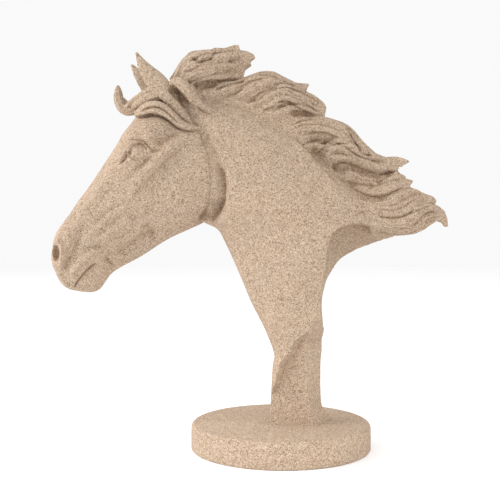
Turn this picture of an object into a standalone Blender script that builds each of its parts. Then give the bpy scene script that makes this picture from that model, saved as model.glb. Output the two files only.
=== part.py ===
"""Horse head sculpture on a round base, cast in one piece of stone-filled resin.

Metres, +Z up. The origin is the centre of the base's underside. The horse looks towards -X,
its left side faces -Y, and its mane streams back towards +X.
"""

import math

import bmesh
import bpy
import numpy as np

# Driving sizes, in metres.
BASE_DIAMETER = 0.134
BASE_THICKNESS = 0.0195
BASE_TOP_ROUNDING = 0.0035
BASE_FOOT_ROUNDING = 0.0014
FIGURE_HEIGHT = 0.2805
FOOT_SINK = 0.004

# The carving keeps its proportions as shares of its own height. It is drawn 280.5 units high,
# so one unit is a millimetre at the real size. In the drawing x runs towards the mane's tips,
# y towards the horse's right side, and z up from the top of the base.
DRAWN_HEIGHT = 280.5
UNIT = FIGURE_HEIGHT / DRAWN_HEIGHT

# Fineness of the cast surface.
SURFACE_GRAIN = 1.05 * UNIT
SURFACE_SMOOTHING_STEPS = 3
FIGURE_TRIANGLES = 8700
BASE_SIDES = 64
ROUNDING_STEPS = 2

# The resin's colour, as linear RGB.
SANDSTONE_COLOR = (0.60, 0.455, 0.335, 1.0)
SANDSTONE_ROUGHNESS = 0.9

# Shares of a section's height, from its upper to its lower edge, at which the half-widths are given.
SECTION_SHARES = (0.04, 0.20, 0.45, 0.72, 0.94)

# Head sections from the muzzle back: upper edge (x, z), lower edge (x, z), half-widths.
HEAD_SECTIONS = (
    ((-174.5, 127), (-173.5, 114), (3, 5, 6, 5, 3)),
    ((-171.5, 139), (-165, 100), (7, 12, 13.5, 12, 7)),
    ((-167, 147), (-151, 96), (8, 14, 16, 14, 8)),
    ((-160, 156), (-139, 97.5), (8.5, 14.5, 15.5, 14, 8)),
    ((-153, 166), (-128, 111), (9, 15, 15.5, 13.5, 7)),
    ((-146, 176), (-106.5, 123), (9.5, 16, 17.5, 14.5, 6.5)),
    ((-133, 195), (-86, 136), (10.5, 19.5, 21.5, 18, 9)),
    ((-124, 208), (-71, 143), (12.5, 23, 24.5, 21.5, 12)),
    ((-115, 221), (-57, 149), (14.5, 25, 26, 24, 14)),
    ((-104, 233), (-48, 160), (15, 24.5, 25.5, 24.5, 15)),
    ((-91, 241), (-43, 176), (14, 22, 24, 23, 15)),
    ((-77, 245), (-42, 196), (10, 17, 20, 18, 12)),
    ((-66, 244), (-45, 215), (5, 9, 11, 10, 6)),
)

# Neck sections from the foot up: front edge (x, z), rear edge (x, z), half-widths.
NECK_SECTIONS = (
    ((-8, -FOOT_SINK / UNIT), (35, -FOOT_SINK / UNIT), (15, 20, 21, 20, 15)),
    ((-8, 4), (33.5, 4), (14, 20, 21, 20, 15)),
    ((-7.5, 16), (30.5, 16), (14, 20, 21.5, 20, 15)),
    ((-6, 42), (31, 42), (13, 20, 21.5, 20, 15)),
    ((-5, 52), (33, 55), (12, 19, 21.5, 20, 15)),
    ((-12.5, 71), (32.5, 75), (11, 19, 22.5, 21, 15)),
    ((-22, 89.5), (34, 95), (11, 19.5, 24, 22, 16)),
    ((-29.5, 107.5), (54, 112), (12, 20.5, 25, 24, 16)),
    ((-35.5, 121), (80, 123), (12, 21, 26, 25, 15)),
    ((-42, 134), (90, 136), (13, 21.5, 26.5, 24, 11)),
    ((-47, 145.5), (78, 146), (13, 21.5, 27, 24, 12)),
    ((-51, 155), (64, 157), (13, 22, 27, 25, 14)),
    ((-57, 165), (47, 174), (13, 22, 27, 25, 14)),
    ((-62, 180), (30, 194), (13, 22, 26, 24, 14)),
    ((-67, 196), (14, 211), (12, 21, 25, 23, 13)),
    ((-74, 210), (-5, 224), (12, 20, 23, 21, 12)),
    ((-82, 222), (-30, 235), (11, 18, 20.5, 18, 10)),
    ((-88, 230), (-55, 240), (9, 14, 16, 14, 8)),
    ((-88, 236), (-70, 241), (5, 7, 8, 7, 4)),
)

# The hollow cut under the mane: its edge on the left side and its edge on the right side, (x, z).
SCOOP_EDGES = (
    ((96, 131), (100, 131)),
    ((87, 136.5), (90, 134)),
    ((77, 142), (80, 132.5)),
    ((66, 147), (69, 130.5)),
    ((56, 148.5), (57, 127.5)),
    ((47, 145), (47, 123.5)),
    ((40, 139), (41, 118)),
    ((36, 130), (38, 111)),
    ((33.5, 117), (34.5, 103)),
    ((32.5, 102), (33, 93)),
    ((32, 84), (32.5, 80)),
    ((34, 66), (34, 66)),
)
SCOOP_HALF_WIDTH = 24
SCOOP_BOW = (-2, 3.4)
SCOOP_OVERRUN = 0.35
SCOOP_OUTSIDE_X = 150
SCOOP_OUTSIDE_Z = (40, 130)

# The chiselled edge across the stem's left side, (x, z), and the flat face left below it.
CHISEL_EDGE = (
    (40, 92), (31, 85), (28, 76), (22, 68), (17, 62), (10, 55), (6, 48), (2, 39), (-3, 31), (-12, 22),
)
CHISEL_OUTSIDE = ((-30, 10), (-30, -20), (60, -20), (60, 92))
CHISEL_OUTSIDE_Y = -60
CHISEL_LIP_Y = -18
CHISEL_FACE_Y = -9.5
CHISEL_UNDERCUT = 3

# The facet at the stem's rear left corner: a slanted cut in plan, (x, y), that runs out above its top.
FACET_PLAN = ((2, -50), (38, 34), (80, 34), (80, -50))
FACET_BOTTOM = -20
FACET_TOP = 50
FACET_RUN_OUT = (14, 34)

# The mane's inner web, as an outline (x, z) a little inside the tips of the locks.
MANE_WEB = (
    (-78, 248), (-71, 259), (-61, 268), (-49, 271), (-36, 273), (-27, 268), (-31, 258), (-19, 256),
    (-6, 254), (6, 249), (14, 245), (25, 240), (29, 234), (26, 226), (42, 219), (50, 212), (59, 202),
    (70, 194), (83, 191), (80, 186), (86, 180), (88, 174), (102, 167), (112, 158), (114, 154), (104, 149),
    (92, 146), (80, 146), (60, 152), (20, 185), (-30, 220), (-66, 236),
)
MANE_WEB_HALF_THICKNESS = 5

# How a lock swells from its root, the radius that its tip keeps, and the steps between two path points.
LOCK_ROOT_SHARE = 0.35
LOCK_SWELL_RATE = 2.6
LOCK_TIP_RADIUS = 0.9
LOCK_STEPS = 4

# Sides round a lock, an ear and an eyelid.
LOCK_SIDES = 10
EAR_SIDES = 12
LID_SIDES = 8

# Locks of the mane: path (x, z) from root to tip, half-width, and y at root, middle and tip.
MANE_LOCKS = (
    (((-81, 250), (-73, 262), (-64, 270.5), (-53, 274), (-42, 275.5), (-31, 279)), 4.3, (-3, -4, -2)),
    (((-77, 247), (-68, 260), (-58, 266), (-47, 269), (-36, 272), (-26, 273), (-18, 271)),
     4.5, (-8, -9, -2)),
    (((-75, 246), (-65, 256), (-54, 260), (-43, 263), (-31, 266), (-20, 267)), 4.5, (-9, -12, -3)),
    (((-72, 240), (-61, 250), (-50, 254), (-39, 258), (-28, 262)), 4.0, (-11, -12, -4)),
    (((-70, 232), (-52, 241), (-39, 248), (-30, 252), (-18, 257), (-6, 257)), 4.5, (-10, -12, -4)),
    (((-34, 246), (-21, 255), (-13, 257.5), (-5, 257), (4, 253.5), (11, 250), (19, 248.5)),
     4.0, (-3, -4, -1)),
    (((-46, 234), (-27, 242), (-16, 248), (-8, 251), (0, 251), (9, 248), (19, 246.5)), 5.0, (-8, -10, -3)),
    (((-38, 227), (-17, 236), (-6, 242), (3, 245), (11, 244), (20, 241), (28, 238), (35, 234)),
     4.5, (-9, -11, -2)),
    (((-28, 223), (-8, 234), (3, 239), (11, 240), (18, 237), (26, 232), (34, 229)), 4.0, (-9, -12, -3)),
    (((-18, 218), (0, 229), (9, 232), (17, 231), (25, 229), (33, 228)), 3.5, (-9, -12, -4)),
    (((0, 210), (11, 219), (23, 224), (34, 223.5), (43.5, 220), (51, 213), (59, 205.5), (68, 200),
      (77, 196.5), (86, 195.5), (94, 193)), 4.2, (-6, -6, -1)),
    (((-4, 212), (9, 216), (20, 219), (31, 218), (41, 214), (49, 208), (58, 201), (67, 195)),
     4.5, (-8, -11, -6)),
    (((14, 186), (24, 196), (33, 202), (41, 205), (49, 203), (58, 197), (67, 193), (77, 191), (88, 189)),
     4.5, (-6, -12, -3)),
    (((30, 180), (40, 185), (50, 185), (62, 182), (73, 181), (82, 183), (90, 182), (98, 179)),
     4.0, (-4, -7, -1)),
    (((34, 174), (45, 177), (57, 175), (67, 173), (76, 173), (84, 177), (94, 179)), 3.5, (-5, -9, -3)),
    (((38, 167), (50, 168), (62, 165), (72, 164), (81, 165), (89, 169), (97, 172), (105, 170), (114, 165)),
     4.5, (-8, -10, -2)),
    (((42, 160), (56, 160), (69, 157), (79, 156), (88, 157), (96, 161), (103, 165), (112, 165)),
     3.5, (-9, -11, -3)),
    (((46, 152), (60, 152), (74, 149), (85, 148), (94, 151), (101, 157), (109, 160), (115.5, 157),
      (119.5, 151.5), (121, 146)), 4.0, (-9, -11, -1)),
    (((58, 147), (74, 143), (87, 142), (96, 144), (104, 148), (113, 152)), 3.2, (-9, -9, -2)),
)

# The right side's locks run a little above or below the left side's; the middle row lies between them.
RIGHT_LOCK_SWAY = 1.2
RIGHT_LOCK_SWAY_STEP = 2.1
MIDDLE_LOCK_DEPTHS = (0, 1.5, 0)
MIDDLE_LOCK_SWAY = -1.5

# Locks of the forelock and behind the ears, laid over the forehead and temples.
FORELOCK_CURL = (
    ((-82, 249), (-95, 244), (-106, 237), (-114, 231.5), (-119.5, 233.5), (-121.5, 241), (-122, 252)),
    4.5, (-2, -5, -5))
TEMPLE_LOCKS = (
    (((-108, 227), (-97, 234), (-87, 234), (-79, 229), (-70, 222), (-63, 218), (-55, 217)),
     3.2, (-8, -20, -23)),
    (((-108, 226), (-96, 229), (-87, 229), (-80, 224), (-73, 218), (-66, 216)), 3.0, (-9, -23, -24)),
    (((-77, 249), (-71, 247), (-65, 240), (-58, 232), (-50, 226), (-42, 221)), 3.8, (-12, -19, -21)),
)

# Ears: path (x, y, z) from base to tip, half-widths across and half-thicknesses.
LEFT_EAR = (
    ((-72.5, -12, 225), 9.5, 6.5),
    ((-80.5, -13, 237), 9.5, 5.5),
    ((-89, -14, 248), 8.8, 4.5),
    ((-96.5, -15, 257.5), 6.8, 3.5),
    ((-102.5, -15, 266.5), 3.6, 2.4),
    ((-106, -15, 274.5), 1.0, 0.9),
)
RIGHT_EAR = (
    ((-77, 12, 225), 9.5, 6.5),
    ((-87, 13, 237), 10.0, 5.5),
    ((-97, 14, 248), 9.0, 4.5),
    ((-106, 15, 258), 6.5, 3.5),
    ((-112, 15, 265), 3.5, 2.4),
    ((-116, 15, 270), 1.0, 0.9),
)

# Features of the head, drawn on the left side and mirrored.
EYE_CENTRE = (-103.5, -20.5, 201)
EYE_RADIUS = 6
UPPER_LID = ((-114, -22, 195), (-111, -25, 204), (-103.5, -25.5, 208.5), (-96, -26, 204), (-92, -26, 198))
LOWER_LID = ((-114, -22, 195), (-107, -25.5, 194.5), (-100, -26, 194.5), (-93, -26, 198))
LID_RADIUS = 1.0
NOSTRIL_CENTRE = (-169, -12.5, 129)
NOSTRIL_RADII = (3.8, 4.2, 6.5)

# Strokes of the carver's gouge on both sides of the head and neck: path (x, z), rise, half-width.
STROKES = (
    (((-84, 213), (-79, 210)), -1.8, 6.0),
    (((-63, 214), (-77, 207), (-90, 196)), 1.4, 4.5),
    (((-101, 186), (-114, 171), (-127, 157)), 1.0, 4.0),
    (((-94, 176), (-108, 161), (-122, 147)), -1.2, 5.0),
    (((-122, 189), (-136, 169), (-147, 153)), -0.9, 4.5),
    (((-53, 214), (-47, 201), (-44, 184), (-43, 166), (-46, 151)), -2.4, 3.6),
    (((-61, 196), (-56, 181), (-60, 165)), 0.9, 8.0),
    (((-140, 152), (-145, 140), (-147, 129)), -0.9, 3.0),
    (((-158, 96), (-151, 101), (-145, 107), (-140, 114), (-133, 119)), -1.6, 1.5),
    (((-28, 129), (-17, 100), (-8, 74), (-3, 56)), -1.0, 5.0),
    (((-115, 200), (-109, 210), (-100, 213), (-92, 207)), 1.0, 3.0),
)
STROKE_MIN_SIDE = 5


def clear_scene():
    """Remove the objects that a new file holds."""
    for scene_object in list(bpy.data.objects):
        bpy.data.objects.remove(scene_object, do_unlink=True)


def new_collection(name):
    """Make a collection in the scene."""
    collection = bpy.data.collections.new(name)
    bpy.context.scene.collection.children.link(collection)
    return collection


def smooth_path(points, steps, closed=False):
    """Run a Catmull-Rom curve through points or rings, with the given steps in each span."""
    points = np.asarray(points, dtype=float)
    if closed:
        padded = np.concatenate([points[-1:], points, points[:2]])
        spans = len(points)
    else:
        padded = np.concatenate([2 * points[:1] - points[1:2], points, 2 * points[-1:] - points[-2:-1]])
        spans = len(points) - 1
    curve = []
    for span in range(spans):
        before, start, end, after = padded[span:span + 4]
        for step in range(steps):
            t = step / steps
            curve.append(0.5 * (2 * start + (end - before) * t
                                + (2 * before - 5 * start + 4 * end - after) * t ** 2
                                + (3 * start - before - 3 * end + after) * t ** 3))
    if not closed:
        curve.append(points[-1])
    return np.array(curve)


def place(points):
    """Turn drawn points into metres, with the drawing's ground on top of the base."""
    return np.asarray(points, dtype=float) * UNIT + np.array([0.0, 0.0, BASE_THICKNESS])


def add_mesh(name, points, faces, collection):
    """Make a closed mesh object from drawn points."""
    mesh = bpy.data.meshes.new(name)
    mesh.from_pydata([tuple(point) for point in place(points)], [], faces)
    shell = bmesh.new()
    shell.from_mesh(mesh)
    bmesh.ops.recalc_face_normals(shell, faces=shell.faces)
    shell.to_mesh(mesh)
    shell.free()
    new_object = bpy.data.objects.new(name, mesh)
    collection.objects.link(new_object)
    return new_object


def loft(name, rings, collection):
    """Skin a row of rings that have as many points each, and close both ends."""
    count, around = rings.shape[:2]
    points = [tuple(point) for ring in rings for point in ring]
    faces = []
    for row in range(count - 1):
        for side in range(around):
            after = (side + 1) % around
            faces.append((row * around + side, row * around + after,
                          (row + 1) * around + after, (row + 1) * around + side))
    for row in (0, count - 1):
        faces.append(tuple(row * around + side for side in range(around)))
    return add_mesh(name, points, faces, collection)


def section_ring(upper, lower, half_widths):
    """Lay out one head or neck section: down its left side and up its right side."""
    upper = np.array([upper[0], 0.0, upper[1]])
    lower = np.array([lower[0], 0.0, lower[1]])
    left = []
    for share, width in zip(SECTION_SHARES, half_widths):
        left.append(upper + (lower - upper) * share + np.array([0.0, -width, 0.0]))
    right = [point * np.array([1.0, -1.0, 1.0]) for point in reversed(left)]
    return np.array([upper] + left + [lower] + right)


def sections_loft(name, sections, collection, steps_along=4, steps_around=3):
    """Loft a body through its sections."""
    rings = np.array([section_ring(*section) for section in sections])
    rings = smooth_path(rings, steps_along)
    rings = np.array([smooth_path(ring, steps_around, closed=True) for ring in rings])
    return loft(name, rings, collection)


def band(name, path, half_widths, half_thicknesses, sides, collection):
    """Sweep an ellipse along a path; its half-widths lie in the plane of x and z."""
    tangents = np.gradient(path, axis=0)
    tangents /= np.linalg.norm(tangents, axis=1)[:, None]
    across = np.stack([-tangents[:, 2], np.zeros(len(path)), tangents[:, 0]], axis=1)
    across /= np.linalg.norm(across, axis=1)[:, None]
    outward = np.cross(tangents, across)
    angles = np.arange(sides) * 2 * math.pi / sides
    rings = np.array([path + across * (half_widths * math.cos(angle))[:, None]
                      + outward * (half_thicknesses * math.sin(angle))[:, None] for angle in angles])
    return loft(name, rings.transpose(1, 0, 2), collection)


def lock(name, flow, half_width, depths, collection, mirror=1.0, sway=0.0):
    """Carve one lock of hair: a swept band that swells from its root and runs out to its tip."""
    flat_path = smooth_path(flow, LOCK_STEPS)
    share = np.linspace(0.0, 1.0, len(flat_path))
    root, middle, tip = depths
    depth = (root * (1 - share) ** 2 + (4 * middle - root - tip) * share * (1 - share)
             + tip * share ** 2)
    rise = flat_path[:, 1] + sway * np.sin(math.pi * share)
    path = np.stack([flat_path[:, 0], mirror * depth, rise], axis=1)
    swell = np.minimum(1.0, LOCK_ROOT_SHARE + LOCK_SWELL_RATE * share)
    radii = half_width * swell * (1.0 - share ** 4) + LOCK_TIP_RADIUS
    return band(name, path, radii, radii, LOCK_SIDES, collection)


def mirrored(points):
    """Mirror drawn points to the horse's right side."""
    return [(x, -y, z) for x, y, z in points]


def ear(name, stations, collection):
    """Loft a leaf-shaped ear from its base to its tip."""
    path = smooth_path([station[0] for station in stations], LOCK_STEPS)
    half_widths = smooth_path([station[1] for station in stations], LOCK_STEPS)
    half_thicknesses = smooth_path([station[2] for station in stations], LOCK_STEPS)
    return band(name, path, half_widths, half_thicknesses, EAR_SIDES, collection)


def ball(name, centre, radii, collection):
    """Place an ellipsoid."""
    mesh = bpy.data.meshes.new(name)
    sphere = bmesh.new()
    bmesh.ops.create_uvsphere(sphere, u_segments=24, v_segments=16, radius=1.0)
    for vertex in sphere.verts:
        drawn = np.array(vertex.co) * np.array(radii) + np.array(centre)
        vertex.co = tuple(place([drawn])[0])
    sphere.to_mesh(mesh)
    sphere.free()
    new_object = bpy.data.objects.new(name, mesh)
    collection.objects.link(new_object)
    return new_object


def settle(target):
    """Replace an object's mesh by its evaluated mesh and drop its modifiers."""
    depsgraph = bpy.context.evaluated_depsgraph_get()
    mesh = bpy.data.meshes.new_from_object(target.evaluated_get(depsgraph))
    target.modifiers.clear()
    target.data = mesh


def boolean(target, tool, operation):
    """Cut or join a tool with a target, and keep the result."""
    modifier = target.modifiers.new(operation.title(), "BOOLEAN")
    modifier.operation = operation
    modifier.solver = "EXACT"
    modifier.object = tool
    settle(target)


def retire(tool):
    """Mark a cutter as a helper."""
    tool.hide_render = True
    tool.display_type = "WIRE"


def carved_head(forms, cutters):
    """Build the head with its nostrils cut in."""
    head = sections_loft("head", HEAD_SECTIONS, forms)
    for side, mirror in (("left", 1.0), ("right", -1.0)):
        x, y, z = NOSTRIL_CENTRE
        nostril = ball("nostril_" + side, (x, y * mirror, z), NOSTRIL_RADII, cutters)
        boolean(head, nostril, "DIFFERENCE")
        retire(nostril)
    return head


def scoop_cutter(cutters):
    """Build the cutter for the hollow under the mane, bowed inwards between its two edges."""
    rings = []
    bow = np.array([SCOOP_BOW[0], 0.0, SCOOP_BOW[1]])
    low, high = SCOOP_OUTSIDE_Z
    for row, (left, right) in enumerate(SCOOP_EDGES):
        left_edge = np.array([left[0], -SCOOP_HALF_WIDTH, left[1]])
        right_edge = np.array([right[0], SCOOP_HALF_WIDTH, right[1]])
        overrun = (right_edge - left_edge) * SCOOP_OVERRUN
        middle = (left_edge + right_edge) / 2 + bow
        out_z = high + (low - high) * row / (len(SCOOP_EDGES) - 1)
        rings.append([left_edge - overrun, left_edge, middle, right_edge, right_edge + overrun,
                      (SCOOP_OUTSIDE_X, 2 * SCOOP_HALF_WIDTH, out_z),
                      (SCOOP_OUTSIDE_X, -2 * SCOOP_HALF_WIDTH, out_z)])
    return loft("scoop", smooth_path(rings, 3), cutters)


def chisel_cutter(cutters):
    """Build the cutter that leaves the chiselled edge and the flat face on the stem's left side."""
    lip = list(CHISEL_EDGE) + list(CHISEL_OUTSIDE)
    foot = [(x + CHISEL_UNDERCUT, z - CHISEL_UNDERCUT) for x, z in CHISEL_EDGE] + list(CHISEL_OUTSIDE)
    rings = [[(x, y, z) for x, z in outline]
             for outline, y in ((lip, CHISEL_OUTSIDE_Y), (lip, CHISEL_LIP_Y), (foot, CHISEL_FACE_Y))]
    return loft("chisel", np.array(rings, dtype=float), cutters)


def facet_cutter(cutters):
    """Build the cutter for the slanted facet at the stem's rear left corner."""
    run_x, run_z = FACET_RUN_OUT
    levels = ((FACET_BOTTOM, 0), (FACET_TOP, 0), (FACET_TOP + run_z, run_x))
    rings = [[(x + shift, y, z) for x, y in FACET_PLAN] for z, shift in levels]
    return loft("facet", np.array(rings, dtype=float), cutters)


def carved_neck(forms, cutters):
    """Build the neck and stem, with the scoop, the chiselled face and the facet cut away."""
    neck = sections_loft("neck", NECK_SECTIONS, forms)
    for cutter in (scoop_cutter(cutters), chisel_cutter(cutters), facet_cutter(cutters)):
        boolean(neck, cutter, "DIFFERENCE")
        retire(cutter)
    return neck


def mane_web(forms):
    """Build the flat web that carries the locks of the mane."""
    curve = bpy.data.curves.new("mane_web", "CURVE")
    curve.dimensions = "2D"
    curve.fill_mode = "BOTH"
    curve.extrude = MANE_WEB_HALF_THICKNESS * UNIT
    spline = curve.splines.new("POLY")
    spline.points.add(len(MANE_WEB) - 1)
    for point, (x, z) in zip(spline.points, MANE_WEB):
        point.co = (x * UNIT, z * UNIT, 0.0, 1.0)
    spline.use_cyclic_u = True
    sheet = bpy.data.objects.new("mane_web_outline", curve)
    forms.objects.link(sheet)
    sheet.rotation_euler = (math.radians(90), 0.0, 0.0)
    sheet.location = (0.0, 0.0, BASE_THICKNESS)
    bpy.context.view_layer.update()
    depsgraph = bpy.context.evaluated_depsgraph_get()
    mesh = bpy.data.meshes.new_from_object(sheet.evaluated_get(depsgraph))
    web_mesh = bmesh.new()
    web_mesh.from_mesh(mesh)
    bmesh.ops.remove_doubles(web_mesh, verts=web_mesh.verts, dist=1e-6)
    bmesh.ops.recalc_face_normals(web_mesh, faces=web_mesh.faces)
    web_mesh.to_mesh(mesh)
    web_mesh.free()
    web = bpy.data.objects.new("mane_web", mesh)
    web.matrix_world = sheet.matrix_world
    forms.objects.link(web)
    bpy.data.objects.remove(sheet, do_unlink=True)
    return web


def hair(forms):
    """Build the mane's three rows of locks, the forelock and the locks over the temples."""
    locks = [mane_web(forms), lock("forelock_curl", *FORELOCK_CURL, forms)]
    for number, (flow, half_width, depths) in enumerate(MANE_LOCKS):
        right_sway = RIGHT_LOCK_SWAY * math.sin(RIGHT_LOCK_SWAY_STEP * number)
        label = "mane_%s_" + str(number)
        locks.append(lock(label % "left", flow, half_width, depths, forms))
        locks.append(lock(label % "right", flow, half_width, depths, forms, -1.0, right_sway))
        locks.append(lock(label % "middle", flow, half_width, MIDDLE_LOCK_DEPTHS, forms, 1.0,
                          MIDDLE_LOCK_SWAY))
    for number, (flow, half_width, depths) in enumerate(TEMPLE_LOCKS):
        locks.append(lock("temple_left_%d" % number, flow, half_width, depths, forms))
        locks.append(lock("temple_right_%d" % number, flow, half_width, depths, forms, -1.0))
    return locks


def face_features(forms):
    """Build the eyes and lids of both sides."""
    features = []
    for side, mirror in (("left", 1.0), ("right", -1.0)):
        x, y, z = EYE_CENTRE
        features.append(ball("eye_" + side, (x, y * mirror, z), (EYE_RADIUS,) * 3, forms))
        for name, line in (("upper_lid", UPPER_LID), ("lower_lid", LOWER_LID)):
            path = smooth_path(line if mirror > 0 else mirrored(line), LOCK_STEPS)
            radii = np.full(len(path), LID_RADIUS)
            features.append(band(name + "_" + side, path, radii, radii, LID_SIDES, forms))
    return features


def largest_body(target):
    """Keep only the largest connected body of a mesh."""
    body = bmesh.new()
    body.from_mesh(target.data)
    unseen = set(body.verts)
    groups = []
    while unseen:
        start = unseen.pop()
        group = {start}
        front = [start]
        while front:
            vertex = front.pop()
            for edge in vertex.link_edges:
                other = edge.other_vert(vertex)
                if other in unseen:
                    unseen.discard(other)
                    group.add(other)
                    front.append(other)
        groups.append(group)
    groups.sort(key=len)
    for group in groups[:-1]:
        bmesh.ops.delete(body, geom=list(group), context="VERTS")
    body.to_mesh(target.data)
    body.free()


def carve_strokes(figure):
    """Press or raise the skin along each stroke, fading out across the stroke's width."""
    mesh = figure.data
    count = len(mesh.vertices)
    points = np.empty(count * 3)
    mesh.vertices.foreach_get("co", points)
    points = points.reshape(count, 3)
    normals = np.empty(count * 3)
    mesh.vertices.foreach_get("normal", normals)
    normals = normals.reshape(count, 3)
    drawn = (points - np.array([0.0, 0.0, BASE_THICKNESS])) / UNIT
    side = np.clip(np.abs(drawn[:, 1]) / STROKE_MIN_SIDE - 0.5, 0.0, 1.0)
    rise = np.zeros(count)
    for path, height, half_width in STROKES:
        line = smooth_path(path, 8)
        nearest = np.full(count, np.inf)
        for x, z in line:
            nearest = np.minimum(nearest, (drawn[:, 0] - x) ** 2 + (drawn[:, 2] - z) ** 2)
        rise += height * np.exp(-nearest / half_width ** 2)
    points += normals * (rise * side * UNIT)[:, None]
    mesh.vertices.foreach_set("co", points.ravel())
    mesh.update()


def cast_figure(parts, collection):
    """Fuse all forms into one skin, as a mould takes them, and thin it to its few large faces."""
    fused = bmesh.new()
    for form in parts:
        mesh = form.data.copy()
        mesh.transform(form.matrix_world)
        fused.from_mesh(mesh)
        bpy.data.meshes.remove(mesh)
        bpy.data.objects.remove(form, do_unlink=True)
    mesh = bpy.data.meshes.new("horse_head_sculpture")
    fused.to_mesh(mesh)
    fused.free()
    figure = bpy.data.objects.new("horse_head_sculpture", mesh)
    collection.objects.link(figure)
    skin = figure.modifiers.new("Skin", "REMESH")
    skin.mode = "VOXEL"
    skin.voxel_size = SURFACE_GRAIN
    settle(figure)
    largest_body(figure)
    smooth = figure.modifiers.new("Smooth", "SMOOTH")
    smooth.factor = 0.5
    smooth.iterations = SURFACE_SMOOTHING_STEPS
    settle(figure)
    carve_strokes(figure)
    thin = figure.modifiers.new("Thin", "DECIMATE")
    triangles = sum(len(face.vertices) - 2 for face in figure.data.polygons)
    thin.ratio = min(1.0, FIGURE_TRIANGLES / triangles)
    thin.use_collapse_triangulate = True
    settle(figure)
    return figure


def base_disc(collection):
    """Turn the round base from its profile."""
    radius = BASE_DIAMETER / 2
    profile = [(0.0, BASE_THICKNESS)]
    for step in range(ROUNDING_STEPS + 1):
        angle = math.radians(90) * (1 - step / ROUNDING_STEPS)
        profile.append((radius - BASE_TOP_ROUNDING * (1 - math.cos(angle)),
                        BASE_THICKNESS - BASE_TOP_ROUNDING * (1 - math.sin(angle))))
    for step in range(ROUNDING_STEPS + 1):
        angle = math.radians(90) * step / ROUNDING_STEPS
        profile.append((radius - BASE_FOOT_ROUNDING * (1 - math.cos(angle)),
                        BASE_FOOT_ROUNDING * (1 - math.sin(angle))))
    profile.append((0.0, 0.0))
    mesh = bpy.data.meshes.new("base_disc")
    edges = [(row, row + 1) for row in range(len(profile) - 1)]
    mesh.from_pydata([(x, 0.0, z) for x, z in profile], edges, [])
    disc = bpy.data.objects.new("base_disc", mesh)
    collection.objects.link(disc)
    turn = disc.modifiers.new("Turn", "SCREW")
    turn.steps = BASE_SIDES
    turn.render_steps = BASE_SIDES
    turn.use_merge_vertices = True
    turn.merge_threshold = 0.00001
    settle(disc)
    return disc


def sandstone():
    """Make the sand-coloured resin."""
    material = bpy.data.materials.new("sandstone_resin")
    material.use_nodes = True
    shader = material.node_tree.nodes["Principled BSDF"]
    shader.inputs["Base Color"].default_value = SANDSTONE_COLOR
    shader.inputs["Roughness"].default_value = SANDSTONE_ROUGHNESS
    shader.inputs["Metallic"].default_value = 0.0
    return material


def main():
    """Build the sculpture."""
    clear_scene()
    sculpture = new_collection("horse_head_sculpture")
    helpers = new_collection("cutters")
    parts = [carved_head(sculpture, helpers), carved_neck(sculpture, helpers)]
    parts += face_features(sculpture)
    parts += [ear("ear_left", LEFT_EAR, sculpture), ear("ear_right", RIGHT_EAR, sculpture)]
    parts += hair(sculpture)
    figure = cast_figure(parts, sculpture)
    disc = base_disc(helpers)
    boolean(figure, disc, "UNION")
    retire(disc)
    figure.data.materials.clear()
    figure.data.materials.append(sandstone())
    figure.data.shade_smooth()
    figure.data.set_sharp_from_angle(angle=math.radians(40))


main()
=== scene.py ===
"""Looks of a horse head sculpture, cast with its round base in sand-coloured stone resin.

The carving is drawn in units of one millimetre at the real size: x runs towards the mane's tips,
y towards the horse's right side, and z up from the top of the base. The left side faces -Y.
"""

import logging
import math
from collections.abc import Callable
from dataclasses import dataclass
from enum import Enum

import bmesh
import bpy
import numpy as np
from bpy.types import ID, Light, Material, Mesh, Node, NodeSocket, Object
from mathutils import Matrix, Vector
from mathutils.kdtree import KDTree


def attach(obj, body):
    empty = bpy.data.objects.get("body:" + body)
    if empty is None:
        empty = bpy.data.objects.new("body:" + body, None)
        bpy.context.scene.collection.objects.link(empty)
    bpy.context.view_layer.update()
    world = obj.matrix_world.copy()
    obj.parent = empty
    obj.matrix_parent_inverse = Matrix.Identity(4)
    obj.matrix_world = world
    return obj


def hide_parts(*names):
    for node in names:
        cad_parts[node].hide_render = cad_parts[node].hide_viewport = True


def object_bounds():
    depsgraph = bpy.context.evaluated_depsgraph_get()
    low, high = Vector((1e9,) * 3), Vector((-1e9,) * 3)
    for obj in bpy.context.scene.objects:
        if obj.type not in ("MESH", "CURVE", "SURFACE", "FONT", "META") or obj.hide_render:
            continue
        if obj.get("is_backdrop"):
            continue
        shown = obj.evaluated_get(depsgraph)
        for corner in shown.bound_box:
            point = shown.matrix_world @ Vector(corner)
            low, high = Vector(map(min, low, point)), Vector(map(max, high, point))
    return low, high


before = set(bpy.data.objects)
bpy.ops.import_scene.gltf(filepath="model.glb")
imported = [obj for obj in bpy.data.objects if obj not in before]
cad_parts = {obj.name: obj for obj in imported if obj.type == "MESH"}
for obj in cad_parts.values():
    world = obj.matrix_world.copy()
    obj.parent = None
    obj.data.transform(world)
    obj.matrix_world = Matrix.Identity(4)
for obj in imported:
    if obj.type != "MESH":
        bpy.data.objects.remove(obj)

NODE = "horse_head_sculpture"
LOG = logging.getLogger(NODE)

# The drawn height of the mane's highest tip above the base.
DRAWN_TOP = 279.6
# Where along a section of the head or neck its half-widths are given.
SECTION_SHARES = (0.04, 0.20, 0.45, 0.72, 0.94)
# Steps between two sections, and between two points of one section.
SECTION_STEPS = 6
# Rings and sides of an ellipsoid, and how near its poles the rings begin, in radians.
BALL_RINGS = 20
BALL_SIDES = 28
POLE_GAP = 0.02
# How deep the furrows between strands are, as a share of a lock's radius.
STRAND_DEPTH = 0.18
# How wide the steep side of a STEP stroke is, as a share of its gentle side.
STEEP_SHARE = 0.22
# How far from its path a stroke is felt, in half-widths.
STROKE_MARGIN = 4.0
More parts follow.
